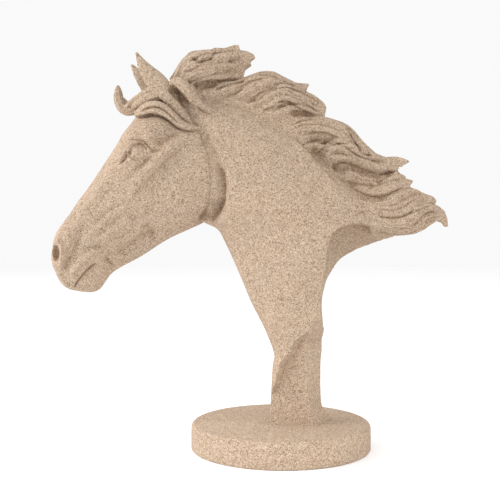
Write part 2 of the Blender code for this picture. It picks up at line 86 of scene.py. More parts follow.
# How far the hair on the right side is shifted, and the lengths of the waves that shift it.
DRIFT = 1.5
DRIFT_WAVES = (9.0, 11.0)
# Where a stroke on both sides fades out towards the middle, as the lowest and highest y of the fade.
SIDE_FADE = (2.0, 7.0)
# The same for a stroke in the hair, and how far the skin must face sideways for it.
HAIR_FADE = (1.0, 4.0)
HAIR_FACING = (0.15, 0.5)
# How far, in metres, a thinned point may be from the dense point that its groove mark comes from,
# and the least depth that is marked. The marks become painted shade in the grooves.
MARK_REACH = 0.0006
LEAST_MARK = 0.02

Numbers = tuple[float, ...]
Points = tuple[Numbers, ...]


class Edge(Enum):
    """How a gouge stroke ends across its width."""

    SOFT = "soft"
    SHARP = "sharp"
    STEP = "step"


class Reach(Enum):
    """Where round the carving a stroke bites."""

    BOTH_SIDES = "both sides"
    ALL_ROUND = "all round"
    HAIR = "hair"


@dataclass(frozen=True)
class Stroke:
    """One stroke of the carver's gouge, or one ridge left between two strokes.

    rise is in millimetres along the skin's normal, below zero for a groove. A STEP stroke falls
    away gently to the left of its path and steeply to the right.
    """

    path: Points
    rise: float
    half_width: float
    fade: float = 0.2
    edge: Edge = Edge.SOFT
    reach: Reach = Reach.BOTH_SIDES


@dataclass(frozen=True)
class Lock:
    """One lock of hair.

    It has a path (x, z), a half-width, y at its root, middle and tip, the number of its strands, how
    late it tapers, and the radius of its tip.
    """

    path: Points
    half_width: float
    depths: tuple[float, float, float]
    strands: int = 9
    taper: float = 3.0
    tip_radius: float = 0.8


@dataclass(frozen=True)
class Drawing:
    """Turns drawn points into the frame's metres."""

    ground: float
    unit: float

    def place(self, points: np.ndarray) -> np.ndarray:
        """Turn drawn points into metres above the ground."""
        return np.asarray(points, dtype=float) * self.unit + np.array([0.0, 0.0, self.ground])

    def read(self, points: np.ndarray) -> np.ndarray:
        """Turn points in metres back into drawn ones."""
        return (points - np.array([0.0, 0.0, self.ground])) / self.unit


def curve_through(points: Points, steps: int, closed: bool = False) -> np.ndarray:
    """Run a Catmull-Rom curve through points or whole rings.

    Args:
        points: The points or rings, in order.
        steps: Steps in each span.
        closed: Whether the last point joins the first.

    Returns:
        The curve's points.
    """
    points = np.asarray(points, dtype=float)
    if closed:
        padded = np.concatenate([points[-1:], points, points[:2]])
        spans = len(points)
    else:
        padded = np.concatenate([2 * points[:1] - points[1:2], points, 2 * points[-1:] - points[-2:-1]])
        spans = len(points) - 1
    curve = []
    for span in range(spans):
        before, start, end, after = padded[span:span + 4]
        for step in range(steps):
            t = step / steps
            curve.append(0.5 * (2 * start + (end - before) * t
                                + (2 * before - 5 * start + 4 * end - after) * t ** 2
                                + (3 * start - before - 3 * end + after) * t ** 3))
    if not closed:
        curve.append(points[-1])
    return np.array(curve)


def smooth_step(values: np.ndarray, low: float, high: float) -> np.ndarray:
    """Return weights that rise smoothly from 0 where a value is low to 1 where it is high."""
    share = np.clip((values - low) / (high - low), 0.0, 1.0)
    return share * share * (3.0 - 2.0 * share)


def right_side_drift(points: np.ndarray) -> np.ndarray:
    """Return how far hair (x, z) is shifted on the right side, so that it isn't a mirror image."""
    x, z = points[:, 0], points[:, 1]
    return DRIFT * np.stack([np.sin(z / DRIFT_WAVES[0] + 0.6), np.sin(x / DRIFT_WAVES[1] + 1.1)], axis=1)


def beside(path: Points, distance: float) -> Points:
    """Shift a path to its left.

    Args:
        path: The path (x, z).
        distance: How far it moves.

    Returns:
        The shifted path.
    """
    line = np.array(path, dtype=float)
    steps = np.gradient(line, axis=0)
    steps /= np.linalg.norm(steps, axis=1)[:, None]
    shifted = line + np.stack([-steps[:, 1], steps[:, 0]], axis=1) * distance
    return tuple(map(tuple, shifted))


def link(name: str, data: ID) -> Object:
    """Link a new object to the scene.

    Args:
        name: Its name.
        data: Its mesh, light or camera.

    Returns:
        The object.
    """
    made = bpy.data.objects.new(name, data)
    bpy.context.scene.collection.objects.link(made)
    return made


def vertex_values(mesh: Mesh, kind: str) -> np.ndarray:
    """Read a value of three numbers from every vertex.

    Args:
        mesh: The mesh.
        kind: co or normal.

    Returns:
        The values, one a row.
    """
    values = np.empty(len(mesh.vertices) * 3)
    mesh.vertices.foreach_get(kind, values)
    return values.reshape(-1, 3)


def edge_ends(mesh: Mesh) -> np.ndarray:
    """Read the two vertex numbers of every edge.

    Args:
        mesh: The mesh.

    Returns:
        The numbers, one edge a row.
    """
    ends = np.empty(len(mesh.edges) * 2, dtype=np.int64)
    mesh.edges.foreach_get("vertices", ends)
    return ends.reshape(-1, 2)


@dataclass
class Form:
    """A closed shape in drawn units, as points and faces."""

    points: np.ndarray
    faces: list[tuple[int, ...]]

    @classmethod
    def skin(cls, rings: np.ndarray) -> "Form":
        """Skin a row of rings that have as many points each, and close both ends.

        Args:
            rings: The rings' points, ring by ring.

        Returns:
            The closed form.
        """
        count, around = rings.shape[:2]
        faces = []
        for row in range(count - 1):
            for side in range(around):
                after = (side + 1) % around
                faces.append((row * around + side, row * around + after,
                              (row + 1) * around + after, (row + 1) * around + side))
        for row in (0, count - 1):
            faces.append(tuple(row * around + side for side in range(around)))
        return cls(rings.reshape(-1, 3), faces)

    @classmethod
    def sweep(cls, path: np.ndarray, half_widths: np.ndarray, half_depths: np.ndarray,
              strands: int = 0, twist: float = 0.0) -> "Form":
        """Sweep a rounded band along a path, with or without strands along it.

        Args:
            path: The centre line.
            half_widths: Half-widths in the plane of x and z, one for each point.
            half_depths: Half-thicknesses across that plane.
            strands: How many strands show round the band, or 0 for a plain one.
            twist: How far the strands turn round the band from root to tip, in radians.

        Returns:
            The closed form.
        """
        tangents = np.gradient(path, axis=0)
        tangents /= np.linalg.norm(tangents, axis=1)[:, None]
        across = np.stack([-tangents[:, 2], np.zeros(len(path)), tangents[:, 0]], axis=1)
        across /= np.linalg.norm(across, axis=1)[:, None]
        outward = np.cross(tangents, across)
        share = np.linspace(0.0, 1.0, len(path))
        sides = max(16, 4 * strands)
        rings = []
        for angle in np.arange(sides) * 2 * math.pi / sides:
            swell = np.ones(len(path))
            if strands:
                furrow = 1.0 - np.abs(np.sin(strands * (angle + twist * share) / 2))
                swell -= STRAND_DEPTH * furrow ** 1.5 * smooth_step(share, 0.0, 0.15)
            rings.append(path + across * (half_widths * swell * math.cos(angle))[:, None]
                         + outward * (half_depths * swell * math.sin(angle))[:, None])
        return cls.skin(np.array(rings).transpose(1, 0, 2))

    @classmethod
    def layered(cls, layers: Points, ring_at: Callable[[float], np.ndarray]) -> "Form":
        """Stack flat rings in layers to both sides of the middle.

        Args:
            layers: Each layer's distance from the middle and its size, from the outside in.
            ring_at: Gives the ring (x, z) of a layer of the given size.

        Returns:
            The closed form.
        """
        rings = []
        for y, share in [(-y, share) for y, share in layers] + list(reversed(layers)):
            flat = ring_at(share)
            rings.append(np.stack([flat[:, 0], np.full(len(flat), y), flat[:, 1]], axis=1))
        return cls.skin(np.array(rings))

    @classmethod
    def ellipsoid(cls, centre: Numbers, radii: Numbers) -> "Form":
        """Make an ellipsoid from rings of latitude.

        Args:
            centre: Its centre.
            radii: Its three radii.

        Returns:
            The closed form.
        """
        rings = []
        around = np.arange(BALL_SIDES) * 2 * math.pi / BALL_SIDES
        for polar in np.linspace(POLE_GAP, math.pi - POLE_GAP, BALL_RINGS):
            rings.append(np.stack([centre[0] + radii[0] * math.sin(polar) * np.cos(around),
                                   centre[1] + radii[1] * math.sin(polar) * np.sin(around),
                                   np.full(BALL_SIDES, centre[2] + radii[2] * math.cos(polar))], axis=1))
        return cls.skin(np.array(rings))

    def on_right(self) -> "Form":
        """Return the form's mirror image on the horse's right side."""
        return Form(self.points * np.array([1.0, -1.0, 1.0]), self.faces)

    def as_object(self, name: str, drawing: Drawing) -> Object:
        """Make a mesh object, with its faces pointing out.

        Args:
            name: The object's name.
            drawing: What places it.

        Returns:
            The new object, linked to the scene.
        """
        mesh = bpy.data.meshes.new(name)
        mesh.from_pydata([tuple(point) for point in drawing.place(self.points)], [], self.faces)
        shell = bmesh.new()
        shell.from_mesh(mesh)
        bmesh.ops.recalc_face_normals(shell, faces=shell.faces)
        shell.to_mesh(mesh)
        shell.free()
        return link(name, mesh)


def fill(node: Node, inputs: dict[str, object]) -> Node:
    """Set or link the inputs of a shader node.

    Args:
        node: The node.
        inputs: A value, or a socket to link, for each input.

    Returns:
        The same node.
    """
    for name, value in inputs.items():
        if isinstance(value, NodeSocket):
            node.id_data.links.new(value, node.inputs[name])
        else:
            node.inputs[name].default_value = value
    return node


def modify(target: Object, kind: str, **settings: object) -> None:
    """Put a modifier on an object and keep its result as the object's mesh.

    Args:
        target: The object.
        kind: Blender's name of the modifier.
        settings: The modifier's settings.
    """
    modifier = target.modifiers.new(kind.title(), kind)
    for name, value in settings.items():
        setattr(modifier, name, value)
    depsgraph = bpy.context.evaluated_depsgraph_get()
    mesh = bpy.data.meshes.new_from_object(target.evaluated_get(depsgraph))
    target.modifiers.clear()
    target.data = mesh


def cut_or_join(target: Object, tool: Object, operation: str) -> None:
    """Cut a tool from a target (DIFFERENCE) or join it on (UNION), and throw the tool away."""
    modify(target, "BOOLEAN", operation=operation, solver="EXACT", object=tool)
    bpy.data.objects.remove(tool, do_unlink=True)


def section_ring(upper: tuple[float, float], lower: tuple[float, float],
                 half_widths: Numbers) -> np.ndarray:
    """Lay out one section of the head or neck: down its left side and up its right side.

    Args:
        upper: Upper or front edge (x, z).
        lower: Lower or rear edge (x, z).
        half_widths: Half-widths at the section shares.

    Returns:
        The ring's points.
    """
    start = np.array([upper[0], 0.0, upper[1]])
    end = np.array([lower[0], 0.0, lower[1]])
    left = []
    for share, width in zip(SECTION_SHARES, half_widths):
        left.append(start + (end - start) * share + np.array([0.0, -width, 0.0]))
    right = [point * np.array([1.0, -1.0, 1.0]) for point in reversed(left)]
    return np.array([start] + left + [end] + right)


def section_loft(sections: tuple) -> Form:
    """Loft a closed form through sections of the head or neck."""
    rings = curve_through([section_ring(*section) for section in sections], SECTION_STEPS)
    return Form.skin(np.array([curve_through(ring, SECTION_STEPS, closed=True) for ring in rings]))


@dataclass
class Head:
    """The head from muzzle to poll, with nostrils, mouth, eyes and the planes of the cheek."""

    sections: tuple = (
        ((-174.5, 127), (-173.5, 114), (3, 5, 6, 5, 3)),
        ((-171.5, 139), (-165, 100), (7, 12, 13.5, 12, 7)),
        ((-167, 147), (-151, 96), (8, 14, 16, 14, 8)),
        ((-160, 156), (-139, 97.5), (8.5, 14.5, 15.5, 14, 8)),
        ((-153, 166), (-128, 111), (9, 15, 15.5, 13.5, 7)),
        ((-145.5, 175.6), (-106.5, 123), (9.5, 16, 17.5, 14.5, 6.5)),
        ((-132.4, 194.5), (-86, 136), (10.5, 19.5, 21.5, 18, 9)),
        ((-123.3, 207.5), (-71, 143), (12.5, 23, 24.5, 21.5, 12)),
        ((-114.3, 220.5), (-57, 149.8), (14.5, 25, 26, 24, 14)),
        ((-103.5, 232.6), (-48, 160), (15, 24.5, 25.5, 24.5, 15)),
        ((-91, 241), (-43, 176), (14, 22, 24, 23, 15)),
        ((-77, 245), (-42, 196), (10, 17, 20, 18, 12)),
        ((-66, 244), (-45, 215), (5, 9, 11, 10, 6)),
    )
    nostril_centre: Numbers = (-168.6, -13.8, 125.8)
    nostril_radii: Numbers = (4.2, 7.0, 6.4)
    eye_centre: Numbers = (-102, -20.6, 200.2)
    eye_radius: float = 6.6
    upper_lid: Points = (
        (-111, -23.5, 196.5), (-110, -25, 201.5), (-108, -26, 205.6), (-103.8, -26.4, 207.6),
        (-99, -26.4, 207), (-95.6, -26.2, 204.4), (-92.6, -25.4, 201.8), (-88.8, -24.4, 200.3),
    )
    lower_lid: Points = (
        (-111, -23.5, 196.5), (-107.8, -25, 194.4), (-103, -25.6, 193), (-98, -25.4, 194),
        (-95, -25, 197), (-91, -24, 199.8),
    )
    # Radius of the lids, and the share of it that is left at their ends.
    lid_radius: float = 1.0
    lid_ends: float = 0.35

    # Strokes of the gouge on the face: path (x, z), then what else each Stroke takes.
    face_strokes: tuple = (
        # Temple hollow, then the long crest from it down the face, with the cheek's hollow below.
        (((-91.5, 203), (-88, 206), (-84, 208.5), (-79, 210.4), (-73.5, 213.4), (-68, 216)), -2.8, 4.4, 0.3),
        (((-60, 214), (-68, 211.6), (-75.5, 206.6), (-83, 200), (-91, 192.5), (-100.5, 183), (-109, 173.5)),
          1.7, 3.4, 0.3),
        (((-114, 162), (-107.5, 169.4), (-100, 177.4), (-91.4, 186), (-84, 193.8), (-76.4, 200.6),
          (-69, 205.8), (-61, 210)), 1.6, 5.0, 0.35, Edge.STEP),
        (((-60, 202.5), (-69, 196), (-77, 188.5), (-84.5, 180.5), (-92, 172), (-99, 164.5)), -1.5, 6.5, 0.35),
        (((-88, 200), (-94, 195.4), (-101, 189.6), (-109, 182.4), (-118, 173.5)), -1.0, 2.4, 0.35),
        (((-80, 184), (-85, 174), (-88, 165), (-84, 156)), -1.8, 11.0, 0.4),
        # Bridge of the nose.
        (((-118, 196), (-130, 176), (-142, 160), (-153, 146)), 1.0, 4.6, 0.25),
        (((-112, 190), (-122, 177), (-131, 166), (-138, 157)), -0.9, 5.0, 0.35),
        # Jowl, with the crease behind it, and the bar of the lower jaw.
        (((-57, 216), (-51.5, 207), (-46.5, 198), (-43.8, 189), (-42.6, 178)), -2.0, 3.0),
        (((-45, 196), (-42, 187), (-41, 178), (-41.6, 168), (-45, 160), (-50, 152.5), (-56, 147)), -5.0, 3.0,
          0.3),
        (((-62, 205), (-55, 194), (-51.5, 180), (-53.5, 166), (-61, 154)), 1.5, 5.0),
        (((-90, 140.5), (-96.5, 139.4), (-103.5, 136.2), (-111.5, 131.2), (-118.5, 126.8), (-127, 121.6)),
          -3.2, 3.4),
        (((-101.1, 148), (-97.5, 144), (-92, 138)), -1.8, 4.2, 0.35),
        (((-86, 137.5), (-96, 132.6), (-104.5, 128.8), (-113, 124.4), (-120.3, 120.6)), 1.2, 2.2),
        (((-43, 170), (-46, 163), (-50, 156.5), (-55, 150.5), (-62, 145)), -5.6, 4.2, 0.3),
        # Muscles that fan out over the muzzle.
        (((-109, 161), (-121.7, 155.2), (-132.6, 147.5), (-142.5, 139)), 1.2, 3.2),
        (((-106, 152), (-117.1, 147), (-127, 140), (-135.8, 132.5)), 1.2, 3.2),
        (((-120, 166), (-129.4, 159.5), (-139, 152)), 1.0, 3.2),
        (((-113, 156), (-122, 150.6), (-131, 143.8), (-139, 136)), -0.6, 2.6),
        (((-121, 160.6), (-130, 154.6), (-139, 146.5)), -0.5, 2.6),
        (((-104, 146), (-115, 140.5), (-125, 133)), -1.0, 3.2),
        (((-94, 157), (-103, 152.5), (-112, 150)), -1.0, 3.4),
        # Eye: deep front corner, the grooves round the ball and over the lid, and the soft fold below.
        (((-112, 204), (-112.2, 200), (-113, 196.6), (-115.4, 193.8), (-119, 190)), -2.8, 1.3, 0.35),
        (((-111.4, 207.6), (-108.4, 209.6), (-104.6, 209.4), (-100.2, 208.8), (-96.6, 207), (-93.8, 204),
          (-91, 201.6), (-86, 200.8)), -1.4, 0.8, 0.2, Edge.SHARP),
        (((-108.5, 196.4), (-108.6, 200.4), (-107.6, 203.6), (-105, 205.9), (-101.4, 206.2), (-98.2, 204.7),
          (-96, 202), (-95.2, 199.6)), -1.0, 0.6, 0.2, Edge.SHARP),
        (((-108.4, 197), (-106, 195.2), (-102.4, 194.3), (-99, 195.2), (-96.4, 198)), -0.5, 0.6, 0.2,
          Edge.SHARP),
        (((-95, 200.8), (-91.4, 200.4), (-87.4, 201), (-83.5, 203)), -1.5, 1.6, 0.35),
        (((-99, 192.6), (-95, 194.6), (-91.6, 198)), -0.5, 1.6),
        (((-118.5, 203), (-116, 211.5), (-108, 217), (-98, 217), (-89, 212)), 1.0, 3.4),
        (((-109, 190.6), (-103, 189.2), (-96.5, 191), (-92, 195)), -0.4, 1.8),
        # Muzzle: furrow behind the nostril, the nostril's rim, lip, mouth and chin.
        (((-143.5, 156), (-146, 148.6), (-149, 140), (-152, 132), (-156.6, 123), (-160.6, 115.4),
          (-163.4, 107), (-165, 100)), -2.3, 3.6, 0.4),
        (((-169.5, 136), (-165, 134.6), (-162.6, 129.6), (-162.2, 123.6), (-163.6, 117.4), (-166, 113.6)),
          2.2, 1.6),
        (((-158.5, 143), (-157.8, 136), (-158.5, 128)), 0.9, 3.0),
        (((-127, 130.6), (-134, 130.6), (-142, 129.6), (-149.5, 126.4), (-155.5, 119)), -1.0, 2.2),
        (((-130, 127), (-139, 124.6), (-146.5, 120), (-152.6, 114), (-157.5, 106.5)), 2.8, 3.0),
        (((-136.5, 118.6), (-139.6, 116.9), (-142.6, 114.6), (-147, 110.2), (-151, 105.8), (-154.2, 101.8),
          (-157.5, 96)), -2.3, 0.85, 0.15, Edge.SHARP, Reach.ALL_ROUND),
        (((-131, 114.5), (-137.4, 109), (-144.5, 102.5)), 1.8, 3.4),
        (((-132, 125), (-129.4, 120.6), (-127, 116.4), (-125, 112)), -2.2, 2.6, 0.35),
    )

    def forms(self) -> list[Form]:
        """Make the eyeballs and the lids.

        Returns:
            The forms of both sides.
        """
        made = [Form.ellipsoid(self.eye_centre, (self.eye_radius,) * 3)]
        for line in (self.upper_lid, self.lower_lid):
            path = curve_through(line, 8)
            share = np.linspace(0.0, 1.0, len(path))
            radii = self.lid_radius * (self.lid_ends + (1 - self.lid_ends) * np.sin(math.pi * share) ** 0.5)
            made.append(Form.sweep(path, radii, radii))
        return made + [form.on_right() for form in made]

    def build(self, drawing: Drawing) -> Object:
        """Loft the head and cut the nostrils.

        Args:
            drawing: What places it.

        Returns:
            The head, before it is fused with the rest.
        """
        head = section_loft(self.sections).as_object("head", drawing)
        nostril = Form.ellipsoid(self.nostril_centre, self.nostril_radii)
        for hole in (nostril, nostril.on_right()):
            cut_or_join(head, hole.as_object("nostril", drawing), "DIFFERENCE")
        return head

    def strokes(self) -> list[Stroke]:
        """Return the strokes that model the face."""
        return [Stroke(*values) for values in self.face_strokes]


@dataclass
class Neck:
    """The neck and stem, with the hollow under the mane and the chiselled faces of the stem."""

    # Sections from the foot, which sinks into the base, up to the poll.
    sections: tuple = (
        ((-8, -4), (42, -4), (15, 20, 21, 20, 15)),
        ((-8, 4), (36, 4), (14, 20, 21, 20, 15)),
        ((-7.5, 14), (30.4, 14), (14, 20, 21.5, 20, 15)),
        ((-6, 42), (30.6, 42), (13, 20, 21.5, 20, 15)),
        ((-5, 52), (33, 55), (12, 19, 21.5, 20, 15)),
        ((-12.5, 71), (32.5, 75), (11, 19, 22.5, 21, 15)),
        ((-22, 89.5), (34, 95), (11, 19.5, 24, 22, 16)),
        ((-29.5, 107.5), (54, 112), (12, 20.5, 25, 24, 16)),
        ((-35.5, 121), (80, 123), (12, 21, 26, 25, 15)),
        ((-41.6, 134), (86, 136.2), (12, 21, 26.5, 24, 11)),
        ((-47.6, 144), (78, 146), (11, 20.5, 27, 24, 12)),
        ((-58.5, 150), (64, 157), (10, 20.5, 27, 25, 14)),
        ((-62, 162), (47, 174), (11, 21, 27, 25, 14)),
        ((-62, 180), (30, 194), (13, 22, 26, 24, 14)),
        ((-67, 196), (14, 211), (12, 21, 25, 23, 13)),
        ((-74, 210), (-5, 224), (12, 20, 23, 21, 12)),
        ((-82, 222), (-30, 235), (11, 18, 20.5, 18, 10)),
        ((-88, 230), (-55, 240), (9, 14, 16, 14, 8)),
        ((-88, 236), (-70, 241), (5, 7, 8, 7, 4)),
    )
    # The hollow under the mane: its edge on the left side and its edge on the right side, (x, z).
    scoop_edges: tuple = (
        ((96, 130), (100, 127)),
        ((87, 134.4), (90, 129.6)),
        ((77, 141.4), (80, 128.6)),
        ((66, 147), (69, 128)),
        ((56, 149), (57, 127.5)),
        ((47, 147), (47, 123.5)),
        ((40, 142.4), (41, 118)),
        ((36, 134), (38, 111)),
        ((33.5, 117), (34.5, 103)),
        ((32.5, 102), (33, 93)),
        ((32, 84), (32.5, 80)),
        ((34, 66), (34, 66)),
    )
    scoop_half_width: float = 24.0
    scoop_bow: tuple[float, float] = (-5.0, 8.6)
    scoop_overrun: float = 0.35
    scoop_outside_x: float = 150.0
    scoop_outside_z: tuple[float, float] = (40.0, 130.0)
    # The chiselled edge across the stem's left side, (x, z), and the flat face left below it.
    chisel_edge: Points = ((40, 94), (33, 87), (29.5, 81), (25, 77.5), (22, 71), (17.5, 67.5), (11.5, 63),
                           (8.5, 56), (5.5, 51.5), (1, 46.5), (-1.5, 38), (-4.5, 30), (-12, 22))
    chisel_outside: Points = ((-30, 10), (-30, -20), (60, -20), (60, 92))
    chisel_depths: tuple[float, float, float] = (-60.0, -18.5, -12.0)
    chisel_undercut: float = 3.0
    # The facet at the stem's rear left corner, (x, y) in plan.
    facet_plan: Points = ((2, -50), (38, 34), (80, 34), (80, -50))
    facet_levels: Points = ((-20, 13), (3, 8), (12, 4), (45, 0.5), (60, 0), (84, 14))

    # Strokes along the neck, and where the mane leaves it.
    neck_strokes: tuple = (
        (((-37, 152), (-33.8, 147), (-23.5, 129), (-12.5, 110.9), (-5.2, 95.6), (-1.5, 79.6), (-0.8, 65)),
          1.3, 5.0),
        (((-40, 146), (-30, 128), (-19, 108), (-11, 92), (-7, 78)), -1.2, 4.0),
        (((-22, 146), (-10, 120), (1, 98), (8, 78)), -0.8, 7.0, 0.4),
        (((62, 157), (60.2, 160), (53.8, 166.2), (47.4, 172.7), (39.6, 179.8), (33.2, 186.3), (25.4, 192.8),
          (17.7, 199.9), (11.2, 206.4), (6, 211)), 3.3, 8.0, 0.25, Edge.STEP, Reach.HAIR),
        (((60.2, 160), (53.8, 166.2), (47.4, 172.7), (39.6, 179.8), (33.2, 186.3), (25.4, 192.8),
          (17.7, 199.9)), -2.2, 1.4, 0.3, Edge.SHARP, Reach.HAIR),
    )

    def scoop(self) -> Form:
        """Make the cutter for the hollow under the mane, bowed inwards between its edges.

        Returns:
            The cutter.
        """
        bow = np.array([self.scoop_bow[0], 0.0, self.scoop_bow[1]])
        low, high = self.scoop_outside_z
        rings = []
        for row, (left, right) in enumerate(self.scoop_edges):
            left_edge = np.array([left[0], -self.scoop_half_width, left[1]])
            right_edge = np.array([right[0], self.scoop_half_width, right[1]])
            overrun = (right_edge - left_edge) * self.scoop_overrun
            out_z = high + (low - high) * row / (len(self.scoop_edges) - 1)
            rings.append([left_edge - overrun, left_edge, (left_edge + right_edge) / 2 + bow,
                          right_edge, right_edge + overrun,
                          (self.scoop_outside_x, 2 * self.scoop_half_width, out_z),
                          (self.scoop_outside_x, -2 * self.scoop_half_width, out_z)])
        return Form.skin(curve_through(rings, 4))

    def chisel(self) -> Form:
        """Make the cutter that leaves the chiselled edge and the flat face below it.

        Returns:
            The cutter.
        """
        edge = curve_through(self.chisel_edge, 3).tolist()
        outside = [list(point) for point in self.chisel_outside]
        foot = [[x + self.chisel_undercut, z - self.chisel_undercut] for x, z in edge]
        outlines = (edge + outside, edge + outside, foot + outside)
        rings = [[(x, y, z) for x, z in outline] for outline, y in zip(outlines, self.chisel_depths)]
        return Form.skin(np.array(rings, dtype=float))

    def facet(self) -> Form:
        """Return the cutter for the slanted facet, which runs out above its top."""
        rings = [[(x + shift, y, z) for x, y in self.facet_plan] for z, shift in self.facet_levels]
        return Form.skin(np.array(rings, dtype=float))

    def build(self, drawing: Drawing) -> Object:
        """Loft the neck and make its three cuts.

        Args:
            drawing: What places it.

        Returns:
            The neck, before it is fused with the rest.
        """
        neck = section_loft(self.sections).as_object("neck", drawing)
        for cutter in (self.scoop(), self.chisel(), self.facet()):
            cut_or_join(neck, cutter.as_object("cutter", drawing), "DIFFERENCE")
        return neck

    def strokes(self) -> list[Stroke]:
        """Return the strokes that model the neck."""
        return [Stroke(*values) for values in self.neck_strokes]


@dataclass
class Ears:
    """The two ears, laid back, with the hollow of each opening forwards."""

    left: tuple = (
        ((-63, -20, 218.5), 1.4, 1.4),
        ((-69, -21.5, 226.5), 3.6, 3.4),
        ((-75.5, -20.5, 235), 5.2, 4.6),
        ((-83, -18, 243.2), 7.2, 5.6),
        ((-91, -16.5, 251.4), 8.2, 5.0),
        ((-97.4, -15.5, 259), 6.3, 4.0),
        ((-102.2, -15, 266.5), 3.6, 2.6),
        ((-105.8, -15, 274), 0.9, 0.9),
    )
    right: tuple = (
        ((-63, 20, 218.5), 1.4, 1.4),
        ((-69, 21.5, 226.5), 3.8, 3.4),
        ((-77, 20.5, 234.5), 6.0, 4.8),
        ((-87, 18, 241.5), 8.6, 5.6),
        ((-98, 16, 248.5), 9.0, 4.8),
        ((-106.5, 15, 257.5), 6.8, 3.8),
        ((-112.4, 15, 264), 3.8, 2.5),
        ((-116.4, 15, 270), 0.9, 0.9),
    )
    hollow_forward: float = 0.72
    hollow_drop: float = 0.35
    hollow_width: float = 0.62
    hollow_depth: float = 0.46

    def build(self, drawing: Drawing) -> list[Object]:
        """Loft each ear and cut its hollow.

        Args:
            drawing: What places them.

        Returns:
            The two ears, before they are fused with the rest.
        """
        made = []
        for stations in (self.left, self.right):
            path = curve_through([station[0] for station in stations], 8)
            widths = curve_through([(station[1],) for station in stations], 8)[:, 0]
            depths = curve_through([(station[2],) for station in stations], 8)[:, 0]
            ear = Form.sweep(path, widths, depths).as_object("ear", drawing)
            inner = slice(len(path) // 5, -2)
            forward = np.stack([-widths, np.zeros(len(path)), -self.hollow_drop * widths], axis=1)
            forward *= self.hollow_forward
            hollow = Form.sweep((path + forward)[inner], (widths * self.hollow_width)[inner],
                                (depths * self.hollow_depth)[inner])
            cut_or_join(ear, hollow.as_object("hollow", drawing), "DIFFERENCE")
            made.append(ear)
        return made


